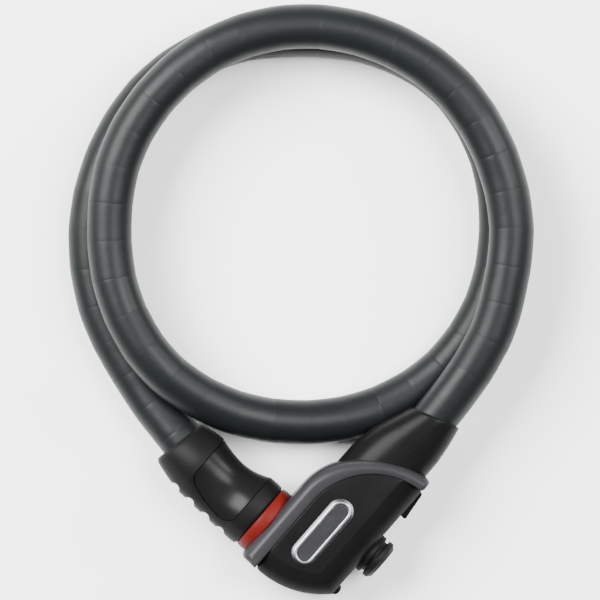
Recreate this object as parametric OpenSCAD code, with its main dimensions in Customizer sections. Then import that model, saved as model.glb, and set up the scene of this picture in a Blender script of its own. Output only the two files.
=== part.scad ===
// Armoured cable lock: a keyed lock body, a coiled steel-jointed cable and a push-in plug.
// The plug axis runs along Y, the cable sleeve leaves along X, and the lock lies on the plane Z = 0.

/* [Lock body] */
// Thickness of the lock body
body_t = 38; // [37:0.5:44]
// From the sleeve axis to the face that takes the plug
plug_side = 25.5; // [25:0.5:29]
// From the sleeve axis to the side that carries the bracket stud
bracket_side = 17; // [16.5:0.5:20]
// From the plug axis to the key end
key_end = 18.6; // [18:0.2:22]
// Width of the bumper band beside the plug
band_w = 8.6; // [7:0.2:9]
// Width of the sloping strip along the bracket side
slope_w = 10; // [8:0.5:12]
// Half height of the upright side walls
side_h = 10; // [9.5:0.25:12]
// How far the front face lies below the ridge of the band
face_drop = 0.8; // [0.2:0.1:1.5]

/* [Plug] */
// Diameter of the steel bolt
bolt_d = 13; // [11:0.5:14]
// Diameter of the bolt at its latch groove
neck_d = 7.2; // [6:0.2:7.4]
// Free length of the bolt, from the seal ring to its tip
bolt_l = 21; // [18:0.5:22]
// Diameter of the grip at its rim
grip_d = 32.4; // [30:0.2:34]
// Diameter of the grip at the middle of its thumb saddle
waist_d = 26.2; // [25:0.2:29]
// Length of the saddle along the plug axis
saddle_l = 26.2; // [24:0.2:30]
// Length of the rim in front of the saddle
rim_l = 7; // [5:0.5:9]
// Width of the seal ring along the plug axis
ring_w = 5.8; // [4:0.2:6.4]
// How far the seal ring lies below the rim of the grip
ring_in = 0; // [0:0.1:1]
// Depth of the seat in the band that takes the seal ring
ring_seat = 1.2; // [0.6:0.1:1.6]
// Number of finger scallops
scallops = 4; // [2:1:4]
// Depth of a finger scallop
scallop_depth = 1.7; // [0.8:0.1:2]

/* [Cable] */
// Outer diameter of the cable
cable_d = 20; // [17:0.5:20.2]
// Diameter of the inner wire rope
core_d = 7; // [5:0.5:7.5]
// Length of cable that one armour shell covers
shell_pitch = 17; // [15:0.5:20]
// Wall of the outer skin
skin_wall = 1.2; // [1:0.1:1.6]
// Wall of an armour shell
shell_wall = 1.4; // [1:0.1:1.8]
// Diameter of the sleeve at its mouth
mouth_d = 23.2; // [22.8:0.2:25]

/* [Lock cylinder] */
// Diameter of the cylinder sleeve
cylinder_d = 12.5; // [12:0.1:13]
// Diameter of the turning core
core_barrel_d = 10; // [9.4:0.1:10.4]
// Number of detainer discs
discs = 7; // [4:1:7]
// Thickness of a detainer disc
disc_t = 1.6; // [1.2:0.1:1.7]
// Lift of the latch in a quarter turn of the key
latch_lift = 3; // [2.4:0.1:3.2]
// Thickness of the dust cover
flap_t = 2.4; // [1.8:0.1:2.8]

/* [Bracket stud and badge] */
// Distance of the stud from the plug axis
stud_x = 20; // [16:0.5:24]
// Diameter of the stud's collar and head
stud_d = 19.2; // [16:0.2:19.6]
// Diameter of the stud in its snap groove
stud_neck_d = 16; // [12:0.2:16]
// Length of the badge from end to end
badge_l = 34.2; // [24:0.2:36]
// Width of the badge
badge_w = 9.8; // [8:0.2:11]

/* [Clearances] */
// Gap between fixed neighbours
gap = 0.15; // [0.1:0.05:0.25]
// Gap beside a moving piece
run_gap = 0.3; // [0.25:0.05:0.4]
// Radial gap of a turning or sliding shaft
fit = 0.05; // [0.03:0.01:0.08]
// Gap around a pin that is held fast
press = 0.02; // [0.02:0.01:0.05]

/* [Hidden] */
$fn = 64;
mid = body_t / 2;

// Overlap of a cutter, a reach past everything, the thickness of a slice and the seam between the covers
over = 0.5;
far = 99;
thin = 0.02;
seam = 0.04;

// Colours
soft_black = "#1c1c1f";
hard_black = "#26262b";
band_grey = "#77727a";
steel = "#a9adb3";
brass = "#b89b56";
slate = "#4b4e55";
seal_red = "#b3232b";
silver = "#c9ccd0";
plate_grey = "#3a3a40";

// Outlines of the lock body, drawn clockwise from arcs that share their ends
end_r = 43;
end_y = 14.5;
end_centre = [end_r - key_end, end_y];
function end_x(y, r) = end_centre.x - sqrt(r * r - pow(y - end_y, 2));
corner_r = 2.2;
least_r = 0.8;
arc_steps = 8;
band_bend = [23.4, 31, 40, 54.5];
cover_bend = [20.6, 36, 30, 35];
end_slope_w = 9.5;
face_edge = 0.7;

function last(list) = list[len(list) - 1];
function right_arc(start, from, to, r) =
    let (centre = start + r * [sin(from), -cos(from)])
    [for (i = [1:arc_steps])
        let (heading = from + (to - from) * i / arc_steps)
        centre + r * [-sin(heading), cos(heading)]];

// A bend holds its start, its first radius, the angle where the second radius takes over, and that radius
function outline(face_y, bend, side_y, end_in, inset, tip_r) =
    let (
        first = right_arc([bend[0], face_y - inset], 0, -bend[2], bend[1] - inset),
        centre = last(first) + (bend[3] - inset) * [sin(-bend[2]), -cos(-bend[2])],
        tip = max(least_r, tip_r - inset),
        side = -side_y + inset,
        stop = -acos((side + tip - centre.y) / (bend[3] - inset - tip)),
        second = right_arc(last(first), -bend[2], stop, bend[3] - inset),
        turn = right_arc(last(second), stop, -180, tip),
        r = end_r - end_in - inset,
        low = acos((side - end_y) / r),
        key_arc = [for (i = [0:arc_steps])
            let (heading = low + (90 - low) * i / arc_steps)
            end_centre + r * [-sin(heading), cos(heading)]],
        left = end_centre.x - r,
        corner = max(least_r, corner_r - inset),
        top = right_arc([left, face_y - inset - corner], 90, 0, corner)
    )
    concat([[bend[0], face_y - inset]], first, second, turn, key_arc, top);

cover_face_y = plug_side - band_w;
function band_outline(inset) = outline(plug_side, band_bend, bracket_side, 0, inset, corner_r);
function cover_outline(side_in, end_in, inset) =
    outline(cover_face_y, cover_bend, bracket_side - side_in, end_in, inset, least_r);

// Solid built up from outlines of as many points each; a level holds its height and its outline
module stack(levels) {
    rings = len(levels);
    sides = len(levels[0][1]);
    polyhedron(
        [for (level = levels) each [for (p = level[1]) [p.x, p.y, level[0]]]],
        concat(
            skin_of(rings, sides, 0, false),
            [[for (k = [sides - 1:-1:0]) k]],
            [[for (k = [0:sides - 1]) (rings - 1) * sides + k]]
        )
    );
}

// Half of the black housing: upright sides, then a slope up to the flat face
module cover_half(height) {
    stack([
        [0, cover_outline(0, 0, 0)],
        [side_h, cover_outline(0, 0, 0)],
        [height - face_edge, cover_outline(slope_w, end_slope_w, 0)],
        [height, cover_outline(slope_w, end_slope_w, face_edge)]
    ]);
}

// Sleeve axis, which climbs from the case to the mouth so that the cable can pass over itself
sleeve_start = 40;
sleeve_l = 45;
mouth_x = sleeve_start + sleeve_l;
mouth_rise = 6;
sleeve_pitch = atan2(mouth_rise, mouth_x - sleeve_start);
mouth_yaw = 17;
module along_sleeve(s) {
    translate([sleeve_start, 0, mid])
        rotate([0, 90 - sleeve_pitch, 0])
            translate([0, 0, s])
                children();
}
function on_sleeve(s) = [sleeve_start + s * cos(sleeve_pitch), 0, mid + s * sin(sleeve_pitch)];

// Outer form of the cable sleeve: a wide flat root that narrows to a round, slanting mouth.
// Each ring holds its place from the start, its shift in Y and in Z, its half width and its half height.
sleeve_rings = [[1.6, 2.4, 0.2, 16.5, 12.6], [16, 2.6, 2, 17, 13.4], [24, 1.8, 3, 16.1, 12.9]];
lip_l = 3;
lip_flare = 1;
lip_edge = 0.6;
module sleeve_form(grow) {
    root = sleeve_rings[0];
    hull() {
        for (ring = sleeve_rings)
            translate([sleeve_start + ring[0] - (ring == root ? grow : 0), ring[1], mid + ring[2]])
                rotate([0, 90, 0])
                    scale([ring[4] + grow, ring[3] + grow, 1])
                        cylinder(r = 1, h = thin, $fn = 32);
        translate([mouth_x, 0, mid + mouth_rise])
            rotate([0, 90 - sleeve_pitch, mouth_yaw]) {
                translate([0, 0, -lip_l])
                    cylinder(d = mouth_d + lip_flare + 2 * grow, h = thin, $fn = 32);
                cylinder(d = mouth_d - lip_edge + 2 * grow, h = thin, $fn = 32);
            }
    }
}

// Steel case that holds the bolt, the cylinder and the latch
bolt_r = bolt_d / 2;
case_wall = 2.6;
case_x0 = -bolt_r - case_wall;
cover_wall = 1.2;
case_y1 = cover_face_y - cover_wall;
stud_wall = 3;
case_y0 = stud_wall - bracket_side;
case_up = 9.3;
case_down = 10.4;
case_step = 1.3;
case_shoulder_x = 24;
case_tail = [-9, 8.4];
case_chamfer = 5;
case_nose_x = 1;
plate_t = 2;
plate_in = 2.4;
cylinder_y = -4.5;
cylinder_r = cylinder_d / 2;
cylinder_front = -3;
cylinder_l = 21;
cylinder_ledge = 0.8;
bolt_tip_y = plug_side - bolt_l;
bolt_room = 1;
module case_plan(low_in, grow) {
    low_y = case_y0 + low_in - grow;
    step_y = cylinder_y + cylinder_r + case_step - grow;
    polygon([
        [case_x0 - grow, case_y1 + grow],
        [case_shoulder_x + grow / 2, case_y1 + grow],
        [sleeve_start + grow, case_tail[1] + grow / 2],
        [sleeve_start + grow, case_tail[0] - grow / 2],
        [sleeve_start - case_chamfer, low_y],
        [case_nose_x - grow, low_y],
        [cylinder_front - grow, cylinder_y - cylinder_r - case_step],
        [cylinder_front - grow, step_y],
        [case_x0 - grow, step_y]
    ]);
}

// Screws that clamp the covers on the case, as x, y and the depth of the head below the rear face
screw_places = [[13, 5.4, 1], [33, -8.6, 3.9], [32, 10, 1]];
screw_r = 1.4;
screw_head_r = 2.2;
screw_head_h = 1.6;
screw_hex_r = 1.1;
screw_hex_l = 1;
screw_reach = 11.6;
screw_top = mid + screw_reach;

// Latch: a bar under the bolt and a leg with a slot for the driving pin
bar_from_tip = 4.6;
bar_y = bolt_tip_y + bar_from_tip;
bar_w = 3;
bar_h = 3;
bar_rest = 0.4;
bar_top = -bolt_r - bar_rest;
bar_x0 = -5;
cam_room = 2.6;
leg_x0 = cylinder_front + cylinder_l + cam_room;
leg_w = 4.4;
pin_r = 1.4;
pin_throw = latch_lift / 2 / sin(45);
pin_swing = pin_throw * sin(45);
slot_gap = 0.25;
leg_side = 2.6;
leg_y0 = cylinder_y - leg_side;
leg_top = 3;
spring_hole_r = 1.5;
spring_hole_h = 6;
spring_y = bar_y + bar_w / 2;

// Bolt groove, cut where the latch bar comes up
groove_play = 0.5;
groove_y = bar_y - groove_play;
groove_w = bar_w + 2 * groove_play;

// Dust cover at the key end, hinged on an upright pin
flap_in = 0.8;
flap_half = side_h - flap_in;
barrel_r = 2;
hinge_r = end_r - barrel_r;
hinge_y = 12;
hinge_x = end_x(hinge_y, hinge_r);
hinge_room_r = 3.2;
flap_top_in = 0.6;
flap_top_y = hinge_y - flap_top_in;
flap_pin_r = 0.8;
flap_pin_bite = 0.7;
flap_pin_half = side_h + flap_pin_bite;
lip_r = 1.5;
lip_in = 1.5;
lip_at = [end_x(-bracket_side, end_r) + lip_in, -bracket_side];
keyhole_r = core_barrel_d / 2 + run_gap;

// Bracket stud
collar_l = 2.6;
groove_l = 1.6;
head_l = 2.2;
bevel_l = 1.8;
stud_tip_d = 15;
stud_spigot_r = 3;
stud_screw_r = 1.8;
stud_screw_head_r = 3.4;
stud_screw_head_l = 2.6;
stud_screw_seat = 4;
stud_screw_l = 3;
stud_hex_r = 1.7;
stud_hex_l = 1.6;
lug_x = [41.5, 55.4];
lug_out = [2.9, 1.3];
lug_half = 6;
lug_root = 1;

// Badge
badge_mid = [13.2, 4.6];
badge_sink = 1;
badge_stand = 0.6;
badge_slack = 0.1;
bezel_w = 0.9;
face_z = body_t - face_drop;

// Plug, with places along Y
seat_y = plug_side - ring_seat;
ring_y0 = seat_y + run_gap;
rim_y0 = ring_y0 + ring_w + gap;
saddle_y0 = rim_y0 + rim_l;
saddle_y1 = saddle_y0 + saddle_l;
boss_r = 9;
bush_step = 1;
bush_r = boss_r + bush_step;
sleeve_r = 12;
bolt_head_in = [6, 2.4];
bolt_head_y = saddle_y0 + bolt_head_in[0];
bolt_head_r = 8.4;
bolt_head_end = saddle_y1 - bolt_head_in[1];
core_bore_l = 12;
core_bore_y = bolt_head_end - core_bore_l;
bolt_pin_in = 3.2;
bolt_pin_y = bolt_head_y + bolt_pin_in;
bolt_pin_r = 1.4;
cap_seat = [0, saddle_y1 + 2.25, mid - 0.2];
cap_exit = [2.6, saddle_y1 + 15.65, mid - 2];
cap_tilt = 12;

// Route of the cable, from the seat in the grip to the ferrule in the sleeve
coil_centre = [109.5, 101.5];
coil_start = 176;
coil_step = 22.5;
coil_radius = [
    101, 97, 94.5, 92.5, 91.5, 89.5, 87, 89.5, 92.5, 92, 90.5, 90.5, 90, 88.5,
    87.5, 88, 88.5, 87, 85.5, 86.5, 87.5, 89, 90, 91, 92.5, 93, 94.5, 96.5
];
coil_height = [
    13, 10.5, 10, 10, 10, 10, 10, 10, 10, 10, 10, 10, 10, 10.5,
    15, 23, 30, 30, 29.5, 30, 30.5, 31, 31, 31, 31, 31, 30.5, 30
];
lead_in = [[120, 3.5, 29], [103, 1, 27.4]];
skin_end = 20.2;
coil_points = [for (i = [0:len(coil_radius) - 1])
    let (turn = coil_start - coil_step * i)
    [
        coil_centre.x + coil_radius[i] * cos(turn),
        coil_centre.y + coil_radius[i] * sin(turn),
        coil_height[i]
    ]];
route = concat(
    [cap_seat, cap_exit], coil_points, lead_in,
    [on_sleeve(45.4), on_sleeve(33), on_sleeve(skin_end)]
);

// A smooth curve through the route, cut again at even steps of about one shell
curve_steps = 8;
function cubic(a, b, c, d, t) =
    b + t / 2 * (c - a + t * (2 * a - 5 * b + 4 * c - d + t * (3 * (b - c) + d - a)));
function at(list, i) = list[max(0, min(len(list) - 1, i))];
curve = concat(
    [for (i = [0:len(route) - 2], k = [0:curve_steps - 1])
        cubic(at(route, i - 1), at(route, i), at(route, i + 1), at(route, i + 2), k / curve_steps)],
    [last(route)]
);
reach = [for (i = 0, s = 0; i < len(curve); s = s + norm(at(curve, i + 1) - curve[i]), i = i + 1) s];
function along(s) = [for (axis = [0:2]) lookup(s, [for (i = [0:len(curve) - 1]) [reach[i], curve[i][axis]]])];
shells = round(last(reach) / shell_pitch);
shell_step = last(reach) / shells;
joints = [for (i = [0:shells]) along(i * shell_step)];

cable_r = cable_d / 2;
skin_sides = 12;
bore_r = cable_r - skin_wall;
shell_slack = 0.2;
shell_r = bore_r * cos(180 / skin_sides) - shell_slack;
core_sides = 8;
core_r = core_d / 2;

// Closest approach of the cable to itself, measured between points at least four diameters apart along it
probe_step = 6;
apart = ceil(4 * cable_d / probe_step);
probe = [for (s = [0:probe_step:last(reach)]) along(s)];
self_gap = min([for (i = [0:len(probe) - apart - 1], j = [i + apart:len(probe) - 1])
    norm(probe[i] - probe[j])]) - cable_d;
echo(cable_length = last(reach), armour_shell_count = shells, least_gap_to_itself = self_gap);

// Tubes swept along points, with each ring square to the way past it
function unit(v) = v / norm(v);
function way(points, i) = unit(at(points, i + 1) - at(points, i - 1));
function tube_ring(points, i, r, sides) =
    let (
        ahead = way(points, i),
        side = unit(cross(ahead, [0, 0, 1])),
        up = cross(side, ahead)
    )
    [for (k = [0:sides - 1]) points[i] + r * (cos(360 * k / sides) * side + sin(360 * k / sides) * up)];
function skin_of(rings, sides, first, flip) =
    [for (i = [0:rings - 2], k = [0:sides - 1], half = [0, 1])
        let (
            a = first + i * sides + k,
            b = first + i * sides + (k + 1) % sides,
            face = half == 0 ? [a, b, b + sides] : [a, b + sides, a + sides]
        )
        flip ? [face[2], face[1], face[0]] : face];

module rod(points, r, sides) {
    rings = len(points);
    polyhedron(
        concat(
            [for (i = [0:rings - 1]) each tube_ring(points, i, r, sides)],
            [points[0], points[rings - 1]]
        ),
        concat(
            skin_of(rings, sides, 0, true),
            [for (k = [0:sides - 1]) [rings * sides, k, (k + 1) % sides]],
            [for (k = [0:sides - 1])
                [rings * sides + 1, (rings - 1) * sides + (k + 1) % sides, (rings - 1) * sides + k]]
        )
    );
}

module pipe(points, outer, inner, sides) {
    rings = len(points);
    turn = rings * sides;
    polyhedron(
        concat(
            [for (i = [0:rings - 1]) each tube_ring(points, i, outer, sides)],
            [for (i = [0:rings - 1]) each tube_ring(points, i, inner, sides)]
        ),
        concat(
            skin_of(rings, sides, 0, true),
            skin_of(rings, sides, turn, false),
            [for (end = [0, rings - 1], k = [0:sides - 1], half = [0, 1])
                let (
                    a = end * sides + k,
                    b = end * sides + (k + 1) % sides,
                    face = half == 0 ? [a, b, b + turn] : [a, b + turn, a + turn]
                )
                end == 0 ? face : [face[2], face[1], face[0]]]
        )
    );
}

// Turns a shape that stands on Z so that it points along a direction
module toward(start, stop) {
    d = stop - start;
    translate(start)
        rotate([0, acos(d.z / norm(d)), atan2(d.y, d.x)])
            children();
}
// A cylinder along Y, from y0 to y1
module y_rod(x, z, r, y0, y1) {
    translate([x, y0, z])
        rotate([-90, 0, 0])
            cylinder(r = r, h = y1 - y0);
}
// A cylinder along X, from x0 to x1
module x_rod(y, z, r, x0, x1) {
    translate([x0, y, z])
        rotate([0, 90, 0])
            cylinder(r = r, h = x1 - x0);
}
module box(x0, x1, y0, y1, z0, z1) {
    translate([x0, y0, z0])
        cube([x1 - x0, y1 - y0, z1 - z0]);
}
module stadium(length, width, height) {
    linear_extrude(height) {
        square([length - width, width], center = true);
        for (end = [-1, 1])
            translate([end * (length - width) / 2, 0])
                circle(d = width);
    }
}

// What both covers are hollowed for
module housing_hollows() {
    translate([0, 0, mid - case_down - gap])
        linear_extrude(case_down + case_up + 2 * gap)
            case_plan(0, gap);
    translate([0, 0, mid - case_down - plate_t - gap])
        linear_extrude(plate_t + 2 * gap)
            case_plan(plate_in, gap);
    y_rod(0, mid, bush_r + gap, case_y1 - over, plug_side + over);
    sleeve_form(gap);
    along_sleeve(-flange_at)
        cylinder(r = ferrule_flange_r + gap, h = 3 * flange_at);
    x_rod(cylinder_y, mid, keyhole_r, -key_end - over, cylinder_front + over);
    flap_room();
    y_rod(stud_x, mid, stud_spigot_r + gap, -bracket_side - over, case_y0 + over);
}
// A cylinder along Z, reaching equally up and down from the middle of the body
module z_rod(x, y, r, half) {
    translate([x, y, mid - half])
        cylinder(r = r, h = 2 * half);
}
// A curved wall at the key end, between two places along Y
module end_wall(outer, inner, half, low_y, top_y) {
    intersection() {
        difference() {
            z_rod(end_centre.x, end_centre.y, outer, half, $fn = 128);
            z_rod(end_centre.x, end_centre.y, inner, half + over, $fn = 128);
        }
        box(-far, end_centre.x, low_y, top_y, 0, body_t);
    }
}
module flap_room() {
    half = flap_half + run_gap;
    end_wall(end_r + over, end_r - flap_t - run_gap, half, -far, hinge_y);
    z_rod(hinge_x, hinge_y, hinge_room_r, half);
    z_rod(hinge_x, hinge_y, flap_pin_r + press, flap_pin_half + gap);
}
module bracket_lug() {
    translate([0, -bracket_side, mid - lug_half])
        linear_extrude(2 * lug_half)
            polygon([
                [lug_x[0], lug_root], [lug_x[1], lug_root], [lug_x[1], -lug_out[1]], [lug_x[0], -lug_out[0]]
            ]);
}
module screw_bores() {
    for (place = screw_places)
        translate([place.x, place.y, -over])
            cylinder(r = screw_r + fit, h = screw_top + over + gap);
}

module front_cover() {
    color(hard_black)
        difference() {
            union() {
                translate([0, 0, mid])
                    cover_half(face_z - mid);
                intersection() {
                    bracket_lug();
                    box(0, far, -far, 0, mid, body_t);
                }
            }
            housing_hollows();
            screw_bores();
            translate([badge_mid.x, badge_mid.y, face_z - badge_sink])
                stadium(badge_l + 2 * gap, badge_w + 2 * gap, badge_sink + over);
        }
}

module rear_cover() {
    color(hard_black)
        difference() {
            union() {
                translate([0, 0, mid - seam])
                    mirror([0, 0, 1])
                        cover_half(mid - seam);
                intersection() {
                    bracket_lug();
                    box(0, far, -far, 0, 0, mid - seam);
                }
            }
            housing_hollows();
            screw_bores();
            for (place = screw_places)
                translate([place.x, place.y, -over])
                    cylinder(r = screw_head_r + gap, h = place.z + screw_head_h + over);
        }
}

// Layers of the band from its face inwards, each with its depth and how far it is drawn in
band_layers = [[0, 3.6], [1.6, 1.4], [6, 0]];
band_reach = 5;

module trim_band() {
    color(band_grey)
        difference() {
            stack(concat(
                [for (layer = band_layers) [face_drop + layer[0], band_outline(layer[1])]],
                [for (i = [len(band_layers) - 1:-1:0])
                    [body_t - band_layers[i][0], band_outline(band_layers[i][1])]]
            ));
            translate([0, 0, -over])
                linear_extrude(body_t + 2 * over)
                    polygon(outline(
                        cover_face_y, cover_bend, bracket_side + band_reach, -band_reach, -gap, least_r
                    ));
            y_rod(0, mid, bush_r + gap, case_y1, plug_side + over);
            y_rod(0, mid, rim_r - ring_in + run_gap, seat_y, plug_side + over);
            sleeve_form(gap);
        }
}

module badge_bezel() {
    color(silver)
        translate([badge_mid.x, badge_mid.y, face_z - badge_sink])
            difference() {
                stadium(badge_l, badge_w, badge_sink + badge_stand);
                translate([0, 0, -over])
                    stadium(badge_l - 2 * bezel_w, badge_w - 2 * bezel_w, badge_sink + badge_stand + 2 * over);
            }
}

module badge_plate() {
    inset = 2 * bezel_w + badge_slack;
    color(plate_grey)
        translate([badge_mid.x, badge_mid.y, face_z - badge_sink])
            stadium(badge_l - inset, badge_w - inset, badge_sink + badge_stand / 2);
}

module cover_screws() {
    color(steel)
        for (place = screw_places)
            translate(place)
                difference() {
                    union() {
                        cylinder(r = screw_head_r, h = screw_head_h);
                        cylinder(r = screw_r, h = screw_top - place.z);
                    }
                    translate([0, 0, -over])
                        cylinder(r = screw_hex_r, h = screw_hex_l + over, $fn = 6);
                }
}

module lock_case() {
    color(steel)
        difference() {
            translate([0, 0, mid - case_down])
                linear_extrude(case_down + case_up)
                    case_plan(0, 0);
            y_rod(0, mid, bolt_r + fit, bolt_tip_y - bolt_room, case_y1 + over);
            x_rod(cylinder_y, mid, cylinder_r + press, cylinder_front - over, cylinder_front + cylinder_l);
            x_rod(cylinder_y, mid, cylinder_r - cylinder_ledge, cylinder_front, leg_x0);
            box(bar_x0 - run_gap, leg_x0 + leg_w + run_gap, bar_y - run_gap, bar_y + bar_w + run_gap,
                mid - case_down - over, mid + bar_top + latch_lift + run_gap);
            box(leg_x0 - run_gap, leg_x0 + leg_w + run_gap, leg_y0 - run_gap, bar_y + bar_w + run_gap,
                mid - case_down - over, mid + leg_top + latch_lift + run_gap);
            along_sleeve(-ferrule_back - run_gap)
                cylinder(r = ferrule_r + gap, h = 2 * ferrule_back);
            z_rod(anchor_x, 0, anchor_r + press, case_down + over);
            y_rod(stud_x, mid, stud_screw_r + fit, case_y0 - over, case_y0 + stud_screw_l + run_gap);
            screw_bores();
        }
}

module case_plate() {
    color(steel)
        difference() {
            translate([0, 0, mid - case_down - plate_t])
                linear_extrude(plate_t)
                    case_plan(plate_in, 0);
            screw_bores();
        }
}

module socket_bush() {
    color(steel)
        difference() {
            y_rod(0, mid, bush_r, case_y1, seat_y);
            y_rod(0, mid, bolt_r + fit, case_y1 - over, plug_side);
        }
}

// Keyed core with its discs, spacers and sidebar
core_barrel_r = core_barrel_d / 2;
core_wall = 0.9;
core_front_t = 2;
disc_r = core_barrel_r - core_wall - gap;
disc_hole_r = 1.7;
spacer_t = 0.7;
spacer_hole_r = 2.3;
disc_slack = 0.03;
cam_gap = 0.1;
disc_x0 = cylinder_front + core_front_t + cam_gap;
disc_pitch = disc_t + spacer_t + 2 * disc_slack;
sidebar_w = 1.2;
sidebar_in = [0.3, 0.5];
sidebar_x0 = disc_x0 + sidebar_in[0];
sidebar_l = discs * disc_pitch - sidebar_in[0] - sidebar_in[1];
sidebar_bite = 0.85;
sidebar_foot = disc_r - sidebar_bite;
sidebar_drop = 0.12;
sidebar_top = core_barrel_r - sidebar_drop;
sidebar_gap = 0.1;
gate_gap = 0.2;
key_w = 2;
key_h = 4.8;
cam_r = core_barrel_r - cam_gap;
cam_tang_r = core_barrel_r - core_wall - fit;

module cylinder_sleeve() {
    color(brass)
        difference() {
            x_rod(cylinder_y, mid, cylinder_r, cylinder_front, cylinder_front + cylinder_l);
            x_rod(cylinder_y, mid, core_barrel_r + fit,
                cylinder_front - over, cylinder_front + cylinder_l + over);
        }
}

module cylinder_core() {
    color(brass)
        difference() {
            x_rod(cylinder_y, mid, core_barrel_r, cylinder_front, cylinder_front + cylinder_l);
            x_rod(cylinder_y, mid, core_barrel_r - core_wall, cylinder_front + core_front_t,
                cylinder_front + cylinder_l + over);
            box(cylinder_front - over, cylinder_front + core_front_t + over,
                cylinder_y - key_w / 2, cylinder_y + key_w / 2, mid - key_h / 2, mid + key_h / 2);
            box(sidebar_x0 - sidebar_gap, sidebar_x0 + sidebar_l + sidebar_gap,
                cylinder_y - sidebar_w / 2 - sidebar_gap, cylinder_y + sidebar_w / 2 + sidebar_gap,
                mid + sidebar_foot - gate_gap, mid + core_barrel_r + over);
        }
}

// A thin round plate in the core, with a gate for the sidebar
module gated_plate(x, thick, hole_r) {
    difference() {
        x_rod(cylinder_y, mid, disc_r, x, x + thick);
        x_rod(cylinder_y, mid, hole_r, x - over, x + thick + over);
        box(x - over, x + thick + over,
            cylinder_y - sidebar_w / 2 - gate_gap, cylinder_y + sidebar_w / 2 + gate_gap,
            mid + sidebar_foot - gate_gap, mid + core_barrel_r);
    }
}

module detainer_discs() {
    color(brass)
        for (i = [0:discs - 1])
            gated_plate(disc_x0 + i * disc_pitch, disc_t, disc_hole_r);
}

module disc_spacers() {
    color(steel)
        for (i = [0:discs - 1])
            gated_plate(disc_x0 + i * disc_pitch + disc_t + disc_slack, spacer_t, spacer_hole_r);
}

module sidebar() {
    color(steel)
        box(sidebar_x0, sidebar_x0 + sidebar_l, cylinder_y - sidebar_w / 2, cylinder_y + sidebar_w / 2,
            mid + sidebar_foot, mid + sidebar_top);
}

module drive_cam() {
    tail = cylinder_front + cylinder_l;
    wheel_end = leg_x0 - run_gap;
    color(steel) {
        x_rod(cylinder_y, mid, cam_tang_r, disc_x0 + discs * disc_pitch + cam_gap, tail + 2 * cam_gap);
        x_rod(cylinder_y, mid, cam_r, tail + cam_gap, wheel_end);
        x_rod(cylinder_y + pin_swing, mid - pin_swing, pin_r, wheel_end - cam_gap, leg_x0 + leg_w);
    }
}

module latch() {
    slot_r = pin_r + slot_gap;
    slot_y = [cylinder_y + pin_swing, cylinder_y + pin_throw];
    color(steel)
        difference() {
            union() {
                box(bar_x0, leg_x0 + leg_w, bar_y, bar_y + bar_w, mid + bar_top - bar_h, mid + bar_top);
                box(leg_x0, leg_x0 + leg_w, leg_y0, bar_y + bar_w, mid + bar_top - bar_h, mid + leg_top);
            }
            for (y = slot_y)
                x_rod(y, mid - pin_swing, slot_r, leg_x0 - over, leg_x0 + leg_w + over);
            box(leg_x0 - over, leg_x0 + leg_w + over, slot_y[0], slot_y[1],
                mid - pin_swing - slot_r, mid - pin_swing + slot_r);
            translate([leg_x0 + leg_w / 2, spring_y, mid + bar_top - bar_h - over])
                cylinder(r = spring_hole_r, h = spring_hole_h + over);
        }
}

module latch_spring() {
    wire_r = 0.25;
    coil_r = spring_hole_r - wire_r - gap;
    turns = 5;
    ring_count = 8;
    foot = -case_down + wire_r + press;
    head = bar_top - bar_h + spring_hole_h - wire_r - fit;
    centre = [leg_x0 + leg_w / 2, spring_y];
    color(steel)
        rod([for (i = [0:turns * ring_count])
            [
                centre.x + coil_r * cos(360 * i / ring_count),
                centre.y + coil_r * sin(360 * i / ring_count),
                mid + foot + (head - foot) * i / turns / ring_count
            ]], wire_r, 6);
}

module dust_cover() {
    color(hard_black)
        difference() {
            union() {
                end_wall(end_r, end_r - flap_t, flap_half, -bracket_side, flap_top_y);
                z_rod(hinge_x, hinge_y, barrel_r, flap_half);
                z_rod(lip_at.x, lip_at.y, lip_r, flap_half / 2);
            }
            z_rod(hinge_x, hinge_y, flap_pin_r + fit, flap_half + over);
        }
}

module dust_cover_pin() {
    color(steel)
        z_rod(hinge_x, hinge_y, flap_pin_r, flap_pin_half);
}

module bracket_stud() {
    out = -bracket_side;
    color(hard_black)
        difference() {
            translate([stud_x, out, mid])
                rotate([90, 0, 0])
                    rotate_extrude()
                        polygon([
                            [0, 0], [stud_d / 2, 0], [stud_d / 2, collar_l], [stud_neck_d / 2, collar_l],
                            [stud_neck_d / 2, collar_l + groove_l], [stud_d / 2, collar_l + groove_l],
                            [stud_d / 2, collar_l + groove_l + head_l],
                            [stud_tip_d / 2, collar_l + groove_l + head_l + bevel_l],
                            [0, collar_l + groove_l + head_l + bevel_l]
                        ]);
            y_rod(stud_x, mid, stud_screw_r + fit, -far, out + over);
            y_rod(stud_x, mid, stud_screw_head_r + gap, -far, out - stud_screw_seat);
        }
    color(hard_black)
        difference() {
            y_rod(stud_x, mid, stud_spigot_r, out, case_y0 - gap);
            y_rod(stud_x, mid, stud_screw_r + fit, out - over, case_y0 + over);
        }
}

module stud_screw() {
    seat = -bracket_side - stud_screw_seat;
    face = seat - stud_screw_head_l;
    color(steel)
        difference() {
            union() {
                y_rod(stud_x, mid, stud_screw_head_r, face, seat);
                y_rod(stud_x, mid, stud_screw_r, seat, case_y0 + stud_screw_l);
            }
            y_rod(stud_x, mid, stud_hex_r, face - over, face + stud_hex_l, $fn = 6);
        }
}

// End fitting of the cable, with places along the sleeve axis
ferrule_r = 6.4;
ferrule_back = 11;
ferrule_flange_r = 8.4;
flange_at = 2;
socket_r = 6.4;
socket_l = 2.8;
socket_at = skin_end - socket_l;
wire_seat = -1;
wire_slack = 0.1;
anchor_r = 1.6;
anchor_in = 7;
anchor_x = sleeve_start - anchor_in;

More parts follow.
